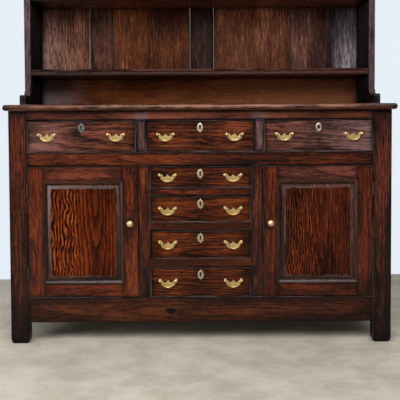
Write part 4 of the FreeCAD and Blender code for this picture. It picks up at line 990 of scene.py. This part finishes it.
# Tones of the board below the shelf: at its left end, a cross line and its right end; partly its own tone,
# partly painted light that lifts the shade under the shelf
SKIRTING_CUT, SKIRTING_TONES = -450 * MM, ((0.36, 0.90), (0.02, 0.0), (0.56, 0.10))
SKIRTING_HEART = (0.02, 0.05)
skirting = Piece("rack_skirting", "carcass", "oak_boards", skirting_oak)
skirting.add(cut(box(lower_low, lower_high, bevel=1.0), SKIRTING_CUT), "x", heart=SKIRTING_HEART,
             tone=lambda p: SKIRTING_TONES[2 if p.x > 0 else int(p.x > SKIRTING_CUT - 50 * MM)])
skirting.make("rack_lower_board")

crown_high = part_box("rack_cornice")[1]
FRIEZE, FRIEZE_THICK, CORNICE, CORNICE_WEAR = 70 * MM, 20 * MM, 60 * MM, 0.6
CORNICE_PROFILE = [(0, 0), (6, 0), (6, 6), (8.6, 7.4), (9.6, 10), (9.9, 14), (12, 22), (17, 30),
                   (24.5, 36.4), (33, 40), (37, 40.8), (37.4, 44), (40.6, 45.2), (43.6, 48.6), (45, 53),
                   (45, 60), (0, 60)]
crown = Piece("cornice", "carcass", "oak_rack", rack_oak)
wall_x, low_z = side_high.x, crown_high.z - CORNICE
path = [lambda o: (-wall_x - o, rack_back), lambda o: (-wall_x - o, rack_front - o),
        lambda o: (wall_x + o, rack_front - o), lambda o: (wall_x + o, rack_back)]
for start, end, along in zip(path, path[1:], "yxy"):
    loops = [[(*at(o * MM), low_z + z * MM) for o, z in CORNICE_PROFILE] for at in (start, end)]
    crown.add(loft(loops), along,
              worn=lambda p: CORNICE_WEAR * (p.z > crown_high.z - 8 * MM or p.z < low_z + 1 * MM))
crown.board((-rack_inner, rack_front, rack_top - FRIEZE),
            (rack_inner, rack_front + FRIEZE_THICK, rack_top), "x", bevel=1.4)
crown.board((-wall_x, rack_front, rack_top), (wall_x, rack_back, crown_high.z), "x", bevel=1.0)
crown.make("rack_cornice")

# Stage: pale floor, and a pale wall that shows only from the front

FLOOR_HALF, WALL_LEFT_Y, WALL_RIGHT_Y, WALL_HEIGHT = 6.0, 0.655, 1.115, 5.0


def stage_material(name, colour, fleck, scale, backdrop):
    """Matt paint or stone, faintly uneven; a backdrop shows its colour as written, from the front only."""
    t = Tree(name)
    place = t.add("TexCoord", output="Object")
    cloud = t.noise(place, scale, 6.0, 0.65)
    shade = t.mix(t.remap(cloud, 0.3, 0.7), colour, fleck)
    material = t.finish(Base_Color=shade, Roughness=0.85, Specular_IOR_Level=0.2,
                        Normal=t.bump(t.noise(place, 260.0, 3.0), 0.06, 0.001))
    if backdrop:
        ray = t.node("LightPath").outputs
        mirrored = t.math("MAXIMUM", ray["Is Glossy Ray"], ray["Is Transmission Ray"])
        seen = t.math("MAXIMUM", ray["Is Camera Ray"], mirrored)
        glow = t.add("Emission", {"Color": shade})
        lit = t.add("MixShader", {0: seen, 1: t.shader.outputs[0], 2: glow})
        clear = t.add("BsdfTransparent")
        behind = t.add("NewGeometry", output="Backfacing")
        both = t.add("MixShader", {0: behind, 1: lit, 2: clear})
        t.links.new(both, t.output.inputs["Surface"])
    return material


def stage_sheet(name, points, material):
    mesh = bpy.data.meshes.new(name)
    mesh.from_pydata(points, [], [(0, 1, 2, 3)])
    mesh.materials.append(material)
    sheet = put(name, mesh)
    sheet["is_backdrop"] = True


stage_sheet("floor", [(x, y, 0) for x, y in rectangle(-FLOOR_HALF, FLOOR_HALF, -FLOOR_HALF, FLOOR_HALF)],
            stage_material("floor", (0.68, 0.62, 0.52), (0.49, 0.44, 0.355), 6.0, False))
stage_sheet("wall", [(-FLOOR_HALF, WALL_LEFT_Y, 0), (FLOOR_HALF, WALL_RIGHT_Y, 0),
                     (FLOOR_HALF, WALL_RIGHT_Y, WALL_HEIGHT), (-FLOOR_HALF, WALL_LEFT_Y, WALL_HEIGHT)],
            stage_material("wall", (0.80, 0.865, 0.93), (0.78, 0.845, 0.91), 1.6, True))

# Light: a low even world and three soft lamps

world = bpy.data.worlds.new("studio")
bpy.context.scene.world = world
world.use_nodes = True
background = world.node_tree.nodes["Background"].inputs
background["Color"].default_value = (0.95, 0.97, 1.0, 1.0)
background["Strength"].default_value = 0.12


def lamp(name, place, target, size, power):
    data = bpy.data.lights.new(name, "AREA")
    data.shape, data.energy = "RECTANGLE", power
    data.size, data.size_y = size
    light = put(name, data)
    light.location = place
    light.rotation_euler = (Vector(target) - Vector(place)).to_track_quat("-Z", "Y").to_euler()


lamp("lamp_left", (-2.35, -1.75, 0.95), (-0.4, -0.2, 0.5), (1.1, 1.3), 30.0)
lamp("lamp_over", (-0.3, -2.95, 2.6), (0.0, -0.2, 0.7), (2.6, 1.9), 104.0)
lamp("lamp_right", (1.7, -3.3, 2.9), (0.0, -0.2, 0.7), (1.6, 1.6), 38.0)

# Camera at the photograph's place

CAMERA_PLACE, PITCH, ROLL = (0.0007, -2.6775, 0.7935), math.radians(2.159), math.radians(0.287)
data = bpy.data.cameras.new("camera")
data.sensor_width, data.lens = 36.0, 61.15
data.shift_x, data.shift_y = -0.0009, -0.12
camera = put("camera", data)
camera.matrix_world = (Matrix.Translation(CAMERA_PLACE) @ Matrix.Rotation(math.pi / 2 - PITCH, 4, "X")
                       @ Matrix.Rotation(-ROLL, 4, "Z"))
bpy.context.scene.camera = camera
bpy.context.scene.view_settings.view_transform = "Standard"

low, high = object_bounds()
{"cad": [list(cad_low), list(cad_high)], "visual": [list(low), list(high)]}
